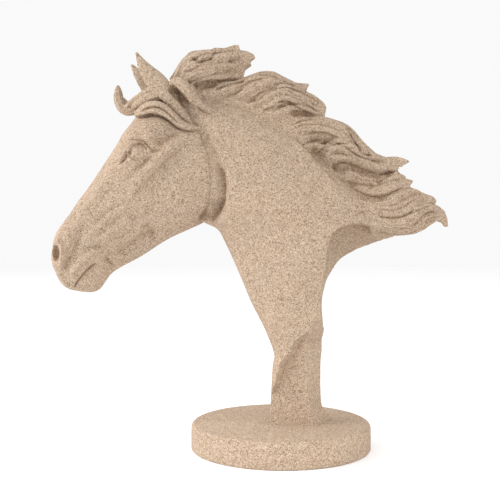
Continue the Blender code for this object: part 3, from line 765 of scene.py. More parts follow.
@dataclass
class Hair:
    """The mane as a layered body with locks over it, the forelock, and the locks over the temples."""

    # Outline of the mane's body, (x, z), tuft by tuft, and back through the neck.
    outline: Points = (
        (-82.8, 253.6), (-81, 260), (-75.8, 268.4), (-72, 272.5), (-66.8, 276.6), (-58.8, 277), (-53.2, 277),
        (-49.4, 278.8), (-42.8, 278.4), (-37.2, 279.8), (-32.6, 279.8), (-31.6, 268), (-29.6, 260),
        (-28.2, 256.6), (-23, 258.2), (-15.7, 260.6), (-9.2, 261), (-4.6, 260.2), (1, 257.2), (6.5, 254.4),
        (12.1, 251.9), (18.7, 251.4), (20.6, 250), (16.7, 246.3), (23.2, 243.5), (28.5, 239.7), (31.6, 236.9),
        (33.4, 233.4), (32.2, 227.3), (34.1, 226), (40.6, 224.4), (47.3, 221.8), (52.9, 217.6), (59.4, 209.8),
        (64.7, 204.4), (72.2, 197.7), (74.7, 196.6), (80.9, 197.3), (87.4, 196.6), (94.2, 193.5),
        (87.6, 190.6), (85.6, 187.8), (87.6, 184.8), (91.4, 181.4), (97, 179.4), (94.4, 175.4), (98.2, 173.6),
        (105.8, 170), (111, 168), (113.8, 164.8), (112.8, 162.4), (116, 160.4), (116.2, 156.6), (114, 150.4),
        (109, 146.8), (104.4, 143.4), (96.7, 140.4), (85.1, 139.2), (78, 139), (70.9, 137), (50, 150),
        (20, 185), (-30, 215), (-66, 236),
    )
    # The tips that hang over a notch, and how their thickness falls off, as (y, share).
    overhangs: tuple = (
        ((-38, 260), (-38, 274), (-34, 280), (-31.6, 280.8), (-31.2, 276.8), (-25.6, 276), (-20.8, 273.8),
         (-19, 270.8), (-23, 267.8), (-22, 265.2), (-26.8, 262), (-28.4, 256.6), (-33, 256)),
        ((104, 153), (104, 160), (111, 163), (115.8, 160.8), (119.8, 157.2), (121.8, 151.6), (122.2, 146),
         (119.6, 145.8), (117.4, 148.8), (113.8, 150), (109, 148)),
    )
    overhang_layers: Points = ((3.8, 0.62), (2.6, 0.86), (1.3, 1.0))
    # The line that the mane grows from, and how far each layer (y, share) reaches out from it; all
    # but the thin edge layers stay clear of the notches between the tufts.
    growth_line: Points = ((-68, 232), (-58, 228), (-32, 221), (-8, 211), (6, 204), (24, 192), (42, 175),
                           (54, 160), (64, 149), (68, 144))
    layers: Points = ((12.4, 0.2), (11.0, 0.46), (9.0, 0.66), (6.6, 0.82), (4.0, 0.93), (1.7, 1.0))
    notch_span: int = 8
    edge_share: float = 0.95
    mane: tuple = (
        Lock(((-81, 250), (-73, 262), (-64, 270.5), (-53, 274), (-42, 275.5), (-31, 279)), 4.3, (-3, -4, -2)),
        Lock(((-77, 247), (-68, 260), (-58, 266), (-47, 269), (-36, 272), (-26, 273), (-18, 271)), 4.5,
             (-8, -9, -2)),
        Lock(((-75, 246), (-65, 256), (-54, 260), (-43, 263), (-31, 266), (-20, 267)), 4.5, (-9, -12, -3)),
        Lock(((-72, 240), (-61, 250), (-50, 254), (-39, 258), (-28, 262)), 4.0, (-11, -12, -4)),
        Lock(((-70, 232), (-52, 240), (-39, 245.5), (-30, 248.5), (-20, 251.5), (-8, 253)), 3.8,
             (-10, -12, -4)),
        Lock(((-36, 243), (-25, 250.5), (-16, 254.4), (-7, 255), (3, 252), (11, 249), (19, 248.5)), 3.8,
             (-4, -5, -1)),
        Lock(((-46, 234), (-27, 242), (-16, 248), (-8, 251), (0, 251), (9, 248), (19, 246.5)), 5.0,
             (-8, -10, -3)),
        Lock(((-38, 227), (-17, 236), (-6, 242), (3, 245), (11, 244), (20, 241), (28, 238), (35, 234)), 4.5,
             (-9, -11, -2)),
        Lock(((-28, 223), (-8, 234), (3, 239), (11, 240), (18, 237), (26, 232), (34, 229)), 4.0,
             (-9, -12, -3)),
        Lock(((-18, 218), (0, 229), (9, 232), (17, 231), (25, 229), (33, 228)), 3.5, (-9, -12, -4)),
        Lock(((0, 210), (11, 218), (23, 222), (34, 221.4), (43, 217.6), (50, 211.4), (58, 203.8), (67, 198),
             (76, 194.8), (86, 194.6), (94, 193)), 4.0, (-6, -6, -1)),
        Lock(((-4, 212), (9, 216), (20, 219), (31, 218), (41, 214), (49, 208), (58, 201), (67, 195)), 4.5,
             (-8, -11, -6)),
        Lock(((14, 186), (24, 196), (33, 202), (41, 205), (49, 203), (58, 197), (67, 193), (77, 191),
             (88, 189)), 4.5, (-6, -12, -3)),
        Lock(((48, 180), (56, 181.6), (65, 180.6), (74, 180.4), (82, 182.4), (90, 182), (98, 179)), 3.4,
             (-1, -6, -1)),
        Lock(((34, 174), (45, 177), (57, 175), (67, 173), (76, 173), (84, 177), (94, 179)), 3.5,
             (-5, -9, -3)),
        Lock(((38, 167), (50, 168), (62, 165), (72, 164), (81, 165), (89, 169), (97, 172), (105, 170),
             (114, 165)), 4.5, (-8, -10, -2)),
        Lock(((42, 160), (56, 160), (69, 157), (79, 156), (88, 157), (96, 161), (103, 165), (112, 165)), 3.5,
             (-9, -11, -3)),
        Lock(((46, 152), (60, 152), (74, 149), (85, 148), (94, 151), (101, 157), (109, 160), (115.5, 157),
             (119.5, 151.5), (121, 146)), 4.0, (-9, -11, -1)),
        Lock(((64, 150), (76, 146), (87, 144), (96, 145), (104, 148.5), (113, 152)), 3.0, (-9, -9, -2)),
    )
    forelock: tuple = (
        Lock(((-86, 243.5), (-94, 241), (-102, 236.4), (-109, 233), (-114.6, 232.6), (-118.6, 235.4),
             (-121, 240.5), (-121.7, 246), (-122, 251.4)), 3.3, (-9, -8, -5), 9, 9.0, 0.9),
        Lock(((-80, 245.5), (-88, 247.3), (-95.7, 245.4), (-103.6, 241.2), (-111.2, 237), (-116.4, 233.6)),
             2.3, (-19, -16, -10), 5, 3.0, 0.9),
        Lock(((-86, 246), (-96, 246), (-105, 243), (-112, 240), (-117.5, 239), (-121, 243.5)), 3.4, (4, 8, 6),
             7, 2.5),
        Lock(((-78, 243), (-88, 242.5), (-97, 240), (-105, 236.5), (-111, 233)), 4.2, (-16, -17, -10), 7,
             3.0),
        Lock(((-81, 249), (-76, 245), (-70, 239), (-62, 232)), 4.6, (-2, -9, -11), 7, 3.0),
    )
    temples: tuple = (
        Lock(((-107, 229.6), (-101, 232.2), (-95, 234), (-88.8, 234.2), (-82.6, 231.8), (-76.8, 226.8),
             (-71, 221.4), (-64, 218.4), (-57, 217.6)), 2.3, (-13, -26, -22.5), 5),
        Lock(((-106.6, 228), (-98, 229.6), (-91, 230.6), (-84.6, 229.2), (-78.8, 225.4), (-73.2, 221),
             (-66.6, 218), (-56, 216.8)), 2.0, (-15.5, -27.5, -22.5), 5),
        Lock(((-80.5, 249), (-75.5, 250.4), (-69.8, 248), (-64.8, 242.6), (-59.8, 236.8), (-53.8, 231.2),
             (-45, 226.5)), 4.2, (-15, -26, -21), 5),
    )
    root_share: float = 0.35
    swell_rate: float = 2.6
    twist: float = 0.5
    # How far the mane's locks stand out from its middle, as a share of their drawn depth.
    spread: float = 0.72
    # How much of its drawn path a mane lock fills; beyond it the body's own edge makes the tip.
    lock_length: float = 0.84

    def centre_line(self, lock: Lock, right: bool = False) -> tuple[np.ndarray, np.ndarray]:
        """Find a lock's centre line and its radius along it.

        Args:
            lock: The lock, which swells from its root and runs out to its tip.
            right: Whether it lies on the horse's right side.

        Returns:
            The points and the radii.
        """
        flat = curve_through(lock.path, 8)
        if lock in self.mane:
            flat = flat[:int(len(flat) * self.lock_length)]
        if right:
            flat = flat + right_side_drift(flat)
        share = np.linspace(0.0, 1.0, len(flat))
        root, centre, tip = lock.depths if lock not in self.mane else [y * self.spread for y in lock.depths]
        depth = root * (1 - share) ** 2 + (4 * centre - root - tip) * share * (1 - share) + tip * share ** 2
        swell = np.minimum(1.0, self.root_share + self.swell_rate * share)
        radii = lock.half_width * swell * (1.0 - share ** lock.taper) + lock.tip_radius
        return np.stack([flat[:, 0], -depth if right else depth, flat[:, 1]], axis=1), radii

    def lock_form(self, lock: Lock, right: bool = False) -> Form:
        """Sweep one lock, on the horse's left or right side."""
        path, radii = self.centre_line(lock, right)
        return Form.sweep(path, radii, radii, lock.strands, -self.twist if right else self.twist)

    def body_form(self) -> Form:
        """Make the mane's body, thick where it grows from the neck and thin at its edge.

        Returns:
            The body's form.
        """
        outline = curve_through(self.outline, 3, closed=True)
        line = curve_through(self.growth_line, 12)
        gaps = ((outline[:, None, :] - line[None, :, :]) ** 2).sum(axis=2)
        roots = line[gaps.argmin(axis=1)]
        reach = np.maximum(np.linalg.norm(outline - roots, axis=1), 0.01)
        kept = np.min([np.roll(reach, step) for step in range(-self.notch_span, self.notch_span + 1)], axis=0)

        def ring(share: float) -> np.ndarray:
            """Return the ring of one layer, held back from the notches unless it is an edge layer."""
            held = np.ones(len(reach)) if share > self.edge_share else kept / reach
            return roots + (outline - roots) * (share * held)[:, None]

        return Form.layered(self.layers, ring)

    def overhang_form(self, outline: Points) -> Form:
        """Make one overhanging tip, thin at its edge.

        Args:
            outline: Its outline (x, z).

        Returns:
            The tip's form.
        """
        flat = np.array(outline, dtype=float)
        middle = flat.mean(axis=0)
        return Form.layered(self.overhang_layers, lambda share: middle + (flat - middle) * share)

    def forms(self) -> list[Form]:
        """Make the mane's body, its overhanging tips and every lock.

        Returns:
            Their forms.
        """
        made = [self.body_form()] + [self.overhang_form(outline) for outline in self.overhangs]
        made += [self.lock_form(lock) for lock in self.forelock]
        for lock in self.mane:
            made += [self.lock_form(lock), self.lock_form(lock, right=True)]
        for lock in self.temples:
            left = self.lock_form(lock)
            made += [left, left.on_right()]
        return made

    # Dark lines between strands, (x, z), each with its depth and the lip that overhangs it.
    deep_lines: tuple = (
        (((-65, 249), (-61.8, 250.9), (-54.3, 252.2), (-46, 253), (-39.5, 254.2), (-33.1, 255),
          (-27.1, 256.3)), 2.6, 2.2),
        (((-67, 270.6), (-63, 269.4), (-57.9, 268.5), (-53.8, 268.9), (-51, 270.4), (-49.4, 272.8),
          (-48.1, 275.9)), 2.4, 1.6),
        (((-47.9, 245.1), (-45.1, 247.5), (-41.4, 249), (-36.8, 249.9), (-29.4, 252.3), (-25.3, 254.9)), 1.6,
          1),
        (((-30.3, 235.7), (-22, 237.6), (-15.6, 239.5), (-11, 242.9), (-6.5, 245.6), (-0.1, 247.5),
          (5.4, 247.7), (10.9, 245.8), (16.3, 243.9), (23.6, 240.2), (29.9, 236.1), (33.6, 233.3)), 1.9, 1.3),
        (((-5.5, 234.7), (1.8, 236.9), (7.2, 236.3), (12.7, 234), (17.3, 230.8), (22.7, 228), (28.6, 226.5)),
          2.2, 1.4),
        (((25.4, 206.3), (31.8, 207.6), (37, 207.9), (42.1, 207.4), (47.2, 206.5), (51.7, 204.4)), 2.3, 1.4),
        (((46.9, 220.5), (49.5, 216.3), (52.1, 211.2), (54.7, 206), (56.8, 202.6), (59, 199.6)), 2, -1.6),
        (((56.9, 201.9), (59.4, 199), (63.9, 198), (67.2, 198.8)), 1.6, 1),
        (((26.7, 197.5), (30.6, 201.3), (37, 204.6), (44.7, 204.7), (51.1, 201.6), (56.2, 197.7),
          (63.9, 195.1), (71.6, 193.8), (79.2, 194.4)), 1.7, 1.2),
        (((39.6, 190.7), (43.4, 193), (49.9, 193.1), (56.3, 191.2), (63.9, 188.4), (72.9, 186.5),
          (81.8, 186.4), (85.6, 187.7)), 3.6, 3.2),
        (((51.8, 175.9), (57.6, 172.4), (62.7, 169.7), (69.1, 168.3), (75.5, 168.8), (80.6, 170.7),
          (86.9, 173.6), (93, 175)), 1.7, 1.1),
        (((66.6, 156.8), (73, 153.4), (79.4, 152.6), (88.3, 153.4), (94.6, 156.3), (100.9, 158.5),
          (108.5, 161.4), (112, 161.9)), 1.2, 0.9),
    )
    fine_lines: tuple = (
        ((-34.9, 245.5), (-29.4, 248.6), (-24.8, 251.3), (-20.2, 253), (-14.7, 254), (-7.4, 254.7),
         (-1.9, 253.5)),
        ((-22, 255.8), (-17.5, 256.6), (-12, 257), (-5.6, 256), (0.8, 252.7), (7.2, 249.7), (14.5, 247.3)),
        ((-20.2, 242.1), (-14.7, 244.8), (-9.2, 248.3), (-3.7, 250.1), (2.7, 250.4), (8.1, 249.2),
         (13.6, 246.7)),
        ((-5.5, 242.9), (0.8, 245), (5.4, 245), (11.8, 241.7), (18.2, 238), (25.4, 235), (31.3, 232.9)),
        ((-1.9, 240.5), (5.4, 241.8), (10.9, 239.7), (17.2, 236.2), (23.6, 232.5), (30, 229.6)),
        ((-14, 230), (-7, 232.4), (0, 234), (6.3, 233.6)),
        ((7.3, 219.3), (12.7, 221.6), (19.1, 223.8), (25.4, 225.1), (32.7, 225.9)),
        ((7.3, 215.7), (12.4, 218.3), (18.9, 220), (25.4, 220.4), (33.1, 219.6), (40.8, 216.8),
         (45.9, 212.8)),
        ((13.8, 210.2), (20.2, 213.4), (27.9, 214.4), (34.4, 213.3), (40.8, 211.3), (45.9, 211)),
        ((15.1, 204.4), (20.2, 207.6), (25.4, 210.1)),
        ((34, 196), (39.5, 199), (46, 198.6), (52.5, 194.8), (60.5, 191.3), (69, 189), (78, 188.6)),
        ((41.5, 185.6), (47.3, 185.3), (53.7, 182.7), (60.1, 180.7), (66.5, 180.1), (74.2, 180.8),
         (81.1, 183.1)),
        ((46.1, 180.2), (52.5, 178.8), (58.9, 177.5), (67.8, 177.1), (76.7, 178.4), (84.3, 180.5),
         (89.4, 179.5)),
    )
    faint_lines: tuple = (
        ((-75.5, 258.6), (-71, 259.6), (-66.9, 260.1), (-59.4, 261), (-52, 261.2), (-46, 262.6)),
        ((-70.5, 251), (-66, 251.9), (-62.4, 252.7), (-55, 254.4), (-48, 256.6)),
        ((58.9, 166.9), (64, 164.7), (70.4, 162.2), (76.8, 161.1), (84.4, 162.3), (90.7, 165.9),
         (97.1, 168.7)),
        ((62.8, 161.7), (69.2, 159.4), (75.6, 158.2), (82.5, 157.8), (89.5, 160.4), (95.8, 164.6),
         (102.1, 166.1)),
        ((76.9, 150.5), (87, 148.9), (95.9, 151.4), (102.2, 154.6), (108.5, 157.2), (114.8, 158.5)),
        ((79.4, 146.7), (87.1, 144.8), (95.9, 145), (103.5, 148.2), (108.5, 151.8), (113.6, 153.4),
         (117.6, 150.6)),
    )
    # Pockets under the locks: path, depth and half-width.
    pockets: tuple = (
        (((5.9, 227.1), (10.9, 228.6), (15.4, 228.8), (20, 227.9), (24.5, 226.5)), 3, 2.2),
        (((-66, 246.4), (-59, 248.6), (-51, 250), (-42, 251.4)), 3.6, 2.4),
        (((-64, 269.6), (-58.4, 267.2), (-53, 267.6), (-49.2, 270.4)), 2, 2),
        (((17, 207), (22, 209), (28, 210), (35, 208.6), (42, 206.4), (49, 205)), 4.6, 2.4),
        (((20, 204), (26, 202.4), (32, 201), (37, 198.6)), 3.4, 3.6),
        (((18, 207.5), (24, 201.5), (31, 195.5), (38, 189.5), (45, 182), (52, 174.8), (58, 168.5), (64, 161)),
          4.6, 4.4),
        (((37, 191), (41, 190.6), (46, 188.6), (52, 184.6)), 5.2, 3.6),
        (((43, 191), (50, 190), (58, 187.6), (66, 185), (75, 183.8), (84, 184.6)), 5.2, 3.2),
        (((47, 182), (55, 179), (64, 177.6), (73, 177.8), (81, 180)), 5.2, 5.2),
        (((54, 172), (61, 168), (68, 166.4), (75, 166.8), (83, 169)), 2.6, 2.8),
    )
    # Crisp lines on the locks over the temple and behind the ear.
    temple_lines: tuple = (
        (((-104, 228.4), (-99.6, 230.6), (-94.1, 232), (-87.9, 232.2), (-82.6, 230), (-77.4, 225.7),
          (-72.2, 221), (-67, 218.6)), 1.6, 0.8),
        (((-106, 226.2), (-100, 226.4), (-92, 227.8), (-86, 226.6), (-79.8, 223), (-74, 218.4), (-67, 215.6),
          (-57, 214.8)), 2.4, 1.4),
        (((-76, 249.6), (-70.5, 246.8), (-65.8, 241.2), (-61, 235.2), (-55.5, 230.2), (-49, 227)), 1.3, 0.5),
        (((-80.4, 247.6), (-76.4, 242.4), (-71.8, 237.3), (-67.4, 231.6)), 2, -0.8),
    )
    # The gap between the ear and the lock behind it, as a stroke.
    ear_gap: tuple = (
        ((-80.5, 249), (-77, 245.4), (-73, 241.4), (-68.6, 238), (-64.6, 234.6)), -2.4, 2.6, 0.3,
    )
    # Where the mane runs smoothly out of the neck, and where its tuft is smooth: path, how strongly,
    # half-width and fade.
    join_lines: tuple = (
        (((-66, 234), (-48, 230), (-32, 226), (-14, 219), (2, 211), (12, 204)), 1.0, 7.0, 0.1),
        (((58, 162), (64, 153), (70, 146), (78, 142)), 1.0, 5.0, 0.1),
        (((-46, 263), (-38, 264.4), (-30, 265.6)), 1.5, 3.4, 0.3),
        (((-46, 258.8), (-39, 260.2), (-33, 261)), 1.3, 2.4, 0.3),
    )
    # Depth and lip of the two kinds of finer line.
    fine_cut: tuple[float, float] = (0.9, 0.5)
    faint_cut: tuple[float, float] = (0.6, 0.4)
    lip_offset: float = 1.2
    lip_width: float = 3.0
    # A line's half-width is the first of these, and the second times its depth more.
    line_widths: tuple[float, float] = (0.55, 0.2)

    def joins(self) -> list[Stroke]:
        """Return where the skin is smoothed."""
        return [Stroke(*values, reach=Reach.ALL_ROUND) for values in self.join_lines]

    def line_strokes(self, path: Points, depth: float, lip: float, reach: Reach) -> list[Stroke]:
        """Cut a line and raise the hair along its left side, so that it overhangs the line.

        Args:
            path: The line.
            depth: How deep it is.
            lip: How far the hair beside it rises; below zero for the right side instead.
            reach: Where round the carving it goes.

        Returns:
            The two strokes.
        """
        side = path if lip > 0 else tuple(reversed(path))
        width = self.line_widths[0] + self.line_widths[1] * depth
        return [Stroke(path, -depth, width, 0.2, Edge.SHARP, reach),
                Stroke(beside(side, self.lip_offset), abs(lip), self.lip_width, 0.25, Edge.STEP, reach)]

    def strokes(self) -> list[Stroke]:
        """List the lines between the strands and the pockets under the locks.

        Returns:
            Their strokes.
        """
        made = [Stroke(path, -depth, width, 0.3, reach=Reach.HAIR) for path, depth, width in self.pockets]
        for path, depth, lip in self.deep_lines:
            made += self.line_strokes(path, depth, lip, Reach.HAIR)
        for paths, cut in ((self.fine_lines, self.fine_cut), (self.faint_lines, self.faint_cut)):
            for path in paths:
                made += self.line_strokes(path, *cut, Reach.HAIR)
        for path, depth, lip in self.temple_lines:
            made += self.line_strokes(path, depth, lip, Reach.BOTH_SIDES)
        made.append(Stroke(*self.ear_gap))
        return made


@dataclass
class RoundBase:
    """The round base, turned from its profile."""

    diameter: float = 0.134
    thickness: float = 0.0195
    top_rounding: float = 0.0035
    foot_rounding: float = 0.0014
    rounding_steps: int = 6
    sides: int = 192
    merge_gap: float = 0.00001

    def build(self) -> Object:
        """Turn the base.

        Returns:
            The base, before it is joined to the figure.
        """
        radius = self.diameter / 2
        profile = [(0.0, self.thickness)]
        for rounding, centre, start in ((self.top_rounding, self.thickness - self.top_rounding, 90),
                                        (self.foot_rounding, self.foot_rounding, 0)):
            for step in range(self.rounding_steps + 1):
                angle = math.radians(start - 90 * step / self.rounding_steps)
                profile.append((radius - rounding * (1 - math.cos(angle)),
                                centre + rounding * math.sin(angle)))
        profile.append((0.0, 0.0))
        mesh = bpy.data.meshes.new("round_base")
        edges = [(row, row + 1) for row in range(len(profile) - 1)]
        mesh.from_pydata([(x, 0.0, z) for x, z in profile], edges, [])
        base = link("round_base", mesh)
        modify(base, "SCREW", steps=self.sides, render_steps=self.sides, use_merge_vertices=True,
               merge_threshold=self.merge_gap)
        return base


@dataclass(frozen=True)
class SandstoneFinish:
    """Stone-filled resin: a warm sand colour with dark and pale grains, matte and finely pitted, with painted
    shade darkening its grooves and hollows.
    """

    body: Numbers = (0.384, 0.287, 0.209)
    warm_body: Numbers = (0.403, 0.293, 0.207)
    dark_grain: Numbers = (0.17, 0.11, 0.07)
    pale_grain: Numbers = (0.65, 0.52, 0.40)
    # Painted shade: this tint multiplies the colour where the skin lies deep in a groove or hollow, darkening
    # it as shade would.
    groove_shade_tint: Numbers = (0.62, 0.53, 0.45)
    # Where the masks of the colours start and end, and how much of the colour shows at most.
    warm_mask: Numbers = (0.35, 0.65, 1.0)
    dark_mask: Numbers = (0.58, 0.92, 0.90)
    pale_mask: Numbers = (0.58, 0.93, 0.68)
    # The painted shade's mask, read from each point's stored groove depth.
    groove_shade_mask: Numbers = (0.08, 0.75, 0.75)
    # Sizes in metres of the grains, the warm patches, the patches of roughness and the swells.
    grain: float = 0.00060
    warm_patch: float = 0.018
    rough_patch: float = 0.004
    swell: float = 0.0045
    roughness: float = 0.92
    roughness_change: float = 0.05
    specular: float = 0.25
    # Strength and depth in metres of the swells and the pits.
    swell_bump: tuple[float, float] = (0.25, 0.0008)
    pit_bump: tuple[float, float] = (0.55, 0.00035)

    def material(self) -> Material:
        """Make the procedural material.

        Returns:
            The finished material.
        """
        made = bpy.data.materials.new("sandstone_resin_cast")
        made.use_nodes = True
        nodes = made.node_tree.nodes
        where = nodes.new("ShaderNodeTexCoord").outputs["Object"]

        def noise(size: float, offset: float) -> NodeSocket:
            """Add a noise.

            Args:
                size: The size of its features in metres.
                offset: How far its pattern is shifted.

            Returns:
                Its value.
            """
            shift = fill(nodes.new("ShaderNodeMapping"), {
                "Location": (offset, offset * 0.7, -offset), "Vector": where})
            cloud = fill(nodes.new("ShaderNodeTexNoise"), {
                "Scale": 1.0 / size, "Detail": 2.0, "Roughness": 0.55, "Vector": shift.outputs["Vector"]})
            return cloud.outputs["Fac"]

        def above(value: NodeSocket, low: float, high: float, most: float, least: float = 0.0) -> NodeSocket:
            """Map a value to least below low and to most above high."""
            inputs = {"Value": value, "From Min": low, "From Max": high, "To Min": least, "To Max": most}
            return fill(nodes.new("ShaderNodeMapRange"), inputs).outputs["Result"]

        def blend(factor: NodeSocket, first: object, second: Numbers, way: str = "MIX") -> NodeSocket:
            """Blend a second colour over a first one.

            Args:
                factor: How much of the second shows.
                first: The first colour, or the socket that gives it.
                second: The second colour.
                way: Blender's name of the blend.

            Returns:
                The blended colour.
            """
            mix = nodes.new("ShaderNodeMix")
            mix.data_type = "RGBA"
            mix.blend_type = way
            fill(mix, {"Factor": factor, "A": first, "B": second + (1.0,)})
            return mix.outputs["Result"]

        patches = above(noise(self.warm_patch, 0.31), *self.warm_mask)
        colour = blend(patches, self.body + (1.0,), self.warm_body)
        grains = fill(nodes.new("ShaderNodeTexVoronoi"), {
            "Scale": 1.0 / self.grain, "Randomness": 1.0, "Vector": where})
        split = fill(nodes.new("ShaderNodeSeparateColor"), {"Color": grains.outputs["Color"]})
        colour = blend(above(split.outputs["Red"], *self.dark_mask), colour, self.dark_grain)
        colour = blend(above(split.outputs["Green"], *self.pale_mask), colour, self.pale_grain)
        # Painted shade: the groove depth stored on the skin darkens the colour in grooves and hollows.
        cavity = nodes.new("ShaderNodeAttribute")
        cavity.attribute_name = "groove"
        groove_shade = above(cavity.outputs["Fac"], *self.groove_shade_mask)
        normal = {}
        for (strength, depth), size, offset in ((self.swell_bump, self.swell, 0.47),
                                                (self.pit_bump, self.grain, 0.11)):
            inputs = {"Strength": strength, "Distance": depth, "Height": noise(size, offset)} | normal
            normal = {"Normal": fill(nodes.new("ShaderNodeBump"), inputs).outputs["Normal"]}
        rough = (self.roughness + self.roughness_change, self.roughness - self.roughness_change)
        fill(nodes["Principled BSDF"], {
            # The base colour carries the painted shade in the grooves.
            "Base Color": blend(groove_shade, colour, self.groove_shade_tint, "MULTIPLY"),
            "Roughness": above(noise(self.rough_patch, 0.83), 0.3, 0.7, *rough),
            "Specular IOR Level": self.specular,
        } | normal)
        return made


@dataclass
class CastFigure:
    """The whole cast: every form fused into one skin, carved, thinned and set on its base."""

    drawing: Drawing
    grain: float = 0.5
    smoothing: int = 3
    join_smoothing: int = 120
    triangles: int = 186000
    # How deep a groove must be, in drawn units, for the fullest painted shade, and the smoothing steps that
    # measure it.
    groove_depth: float = 0.8
    groove_steps: int = 24

    def fuse(self, objects: list[Object], forms: list[Form]) -> Object:
        """Fuse all shapes into one skin, as a mould takes them.

        Args:
            objects: Shapes that are already mesh objects; they are used up.
            forms: The other shapes.

        Returns:
            The fused figure.
        """
        objects = objects + [form.as_object("form", self.drawing) for form in forms]
        fused = bmesh.new()
        for shape in objects:
            fused.from_mesh(shape.data)
            bpy.data.objects.remove(shape, do_unlink=True)
        mesh = bpy.data.meshes.new("carved_horse_head")
        fused.to_mesh(mesh)
        fused.free()
        figure = link("carved_horse_head", mesh)
        modify(figure, "REMESH", mode="VOXEL", voxel_size=self.grain * self.drawing.unit)
        self.keep_largest_body(figure)
        modify(figure, "SMOOTH", iterations=self.smoothing)
        return figure

    @staticmethod
    def keep_largest_body(figure: Object) -> None:
        """Drop stray bodies, such as bubbles sealed between locks.

        Args:
            figure: The fused figure.
        """
        mesh = figure.data
        ends = edge_ends(mesh)
        label = np.arange(len(mesh.vertices))
        while True:
            lowest = np.minimum(label[ends[:, 0]], label[ends[:, 1]])
            fresh = label.copy()
            np.minimum.at(fresh, ends[:, 0], lowest)
            np.minimum.at(fresh, ends[:, 1], lowest)
            fresh = fresh[fresh]
            if np.array_equal(fresh, label):
                break
            label = fresh
        labels, sizes = np.unique(label, return_counts=True)
        keep = labels[np.argmax(sizes)]
        if len(labels) > 1:
            body = bmesh.new()
            body.from_mesh(mesh)
            stray = [vertex for vertex, own in zip(body.verts, label) if own != keep]
            bmesh.ops.delete(body, geom=stray, context="VERTS")
            body.to_mesh(mesh)
            body.free()

    @staticmethod
    def reach_weight(stroke: Stroke, drawn: np.ndarray, normals: np.ndarray) -> np.ndarray:
        """Weigh where round the carving a stroke bites.

        Args:
            stroke: The stroke.
            drawn: The skin's points, as drawn.
            normals: The skin's normals.

        Returns:
            A weight from 0 to 1 for each point.
        """
        y = np.abs(drawn[:, 1])
        if stroke.reach is Reach.ALL_ROUND:
            return np.ones(len(y))
        if stroke.reach is Reach.HAIR:
            return smooth_step(np.abs(normals[:, 1]), *HAIR_FACING) * smooth_step(y, *HAIR_FADE)
        return smooth_step(y, *SIDE_FADE)

    def rises(self, figure: Object, strokes: list[Stroke]) -> tuple[np.ndarray, np.ndarray]:
        """Work out how far each point of the skin rises under the strokes.

        Args:
            figure: The fused figure.
            strokes: The strokes.

        Returns:
            Each point's rise, as drawn, and the skin's normals.
        """
        normals = vertex_values(figure.data, "normal")
        drawn = self.drawing.read(vertex_values(figure.data, "co"))
        flat = drawn[:, [0, 2]]
        drifted = np.where((drawn[:, 1] > 0)[:, None], flat - right_side_drift(flat), flat)
        rise = np.zeros(len(drawn))
        for stroke in strokes:
            line = curve_through(stroke.path, 6)
            places = drifted if stroke.reach is Reach.HAIR else flat
            margin = STROKE_MARGIN * stroke.half_width
            low = line.min(axis=0) - margin
            high = line.max(axis=0) + margin
            near = np.flatnonzero(((places > low) & (places < high)).all(axis=1))
            steps = line[1:] - line[:-1]
            lengths = (steps ** 2).sum(axis=1)
            nearest = np.full(len(near), np.inf)
            along = np.zeros(len(near))
            turn = np.zeros(len(near))
            for number, (start, step, length) in enumerate(zip(line[:-1], steps, lengths)):
                offset = places[near] - start
                share = np.clip(offset @ step / length, 0.0, 1.0)
                distance = ((offset - share[:, None] * step) ** 2).sum(axis=1)
                closer = distance < nearest
                nearest[closer] = distance[closer]
                along[closer] = (number + share[closer]) / len(steps)
                turn[closer] = (step[0] * offset[:, 1] - step[1] * offset[:, 0])[closer]
            if stroke.edge is Edge.SHARP:
                profile = np.exp(-np.sqrt(nearest) / stroke.half_width)
            elif stroke.edge is Edge.STEP:
                width = np.where(turn < 0, STEEP_SHARE, 1.0) * stroke.half_width
                profile = np.exp(-nearest / width ** 2)
            else:
                profile = np.exp(-nearest / stroke.half_width ** 2)
            ends = smooth_step(np.minimum(along, 1.0 - along), -0.001, stroke.fade)
            weight = self.reach_weight(stroke, drawn[near], normals[near])
            rise[near] += stroke.rise * profile * ends * weight
        return rise, normals

    def carve(self, figure: Object, strokes: list[Stroke]) -> None:
        """Press or raise the skin along each stroke.

        Args:
            figure: The fused figure.
            strokes: The strokes.
        """
        rise, normals = self.rises(figure, strokes)
        points = vertex_values(figure.data, "co") + normals * (rise * self.drawing.unit)[:, None]
        figure.data.vertices.foreach_set("co", points.ravel())
        figure.data.update()

    def blend(self, figure: Object, strokes: list[Stroke]) -> None:
        """Smooth the joins where one form runs into the next.

        Args:
            figure: The fused figure.
            strokes: Where to smooth; each stroke's rise is how strongly, up to 1.
        """
        weights = np.clip(self.rises(figure, strokes)[0], 0.0, 1.0)
        group = figure.vertex_groups.new(name="joins")
        levels = np.round(weights * 10).astype(int)
        for level in range(1, 11):
            group.add(np.flatnonzero(levels == level).tolist(), level / 10, "REPLACE")
        modify(figure, "SMOOTH", iterations=self.join_smoothing, vertex_group=group.name)
        figure.vertex_groups.clear()

    def thin(self, figure: Object) -> None:
        """Thin the figure's skin, keeping its faces where the carving is fine."""
        faces = sum(len(face.vertices) - 2 for face in figure.data.polygons)
        modify(figure, "DECIMATE", ratio=min(1.0, self.triangles / faces), use_collapse_triangulate=True)

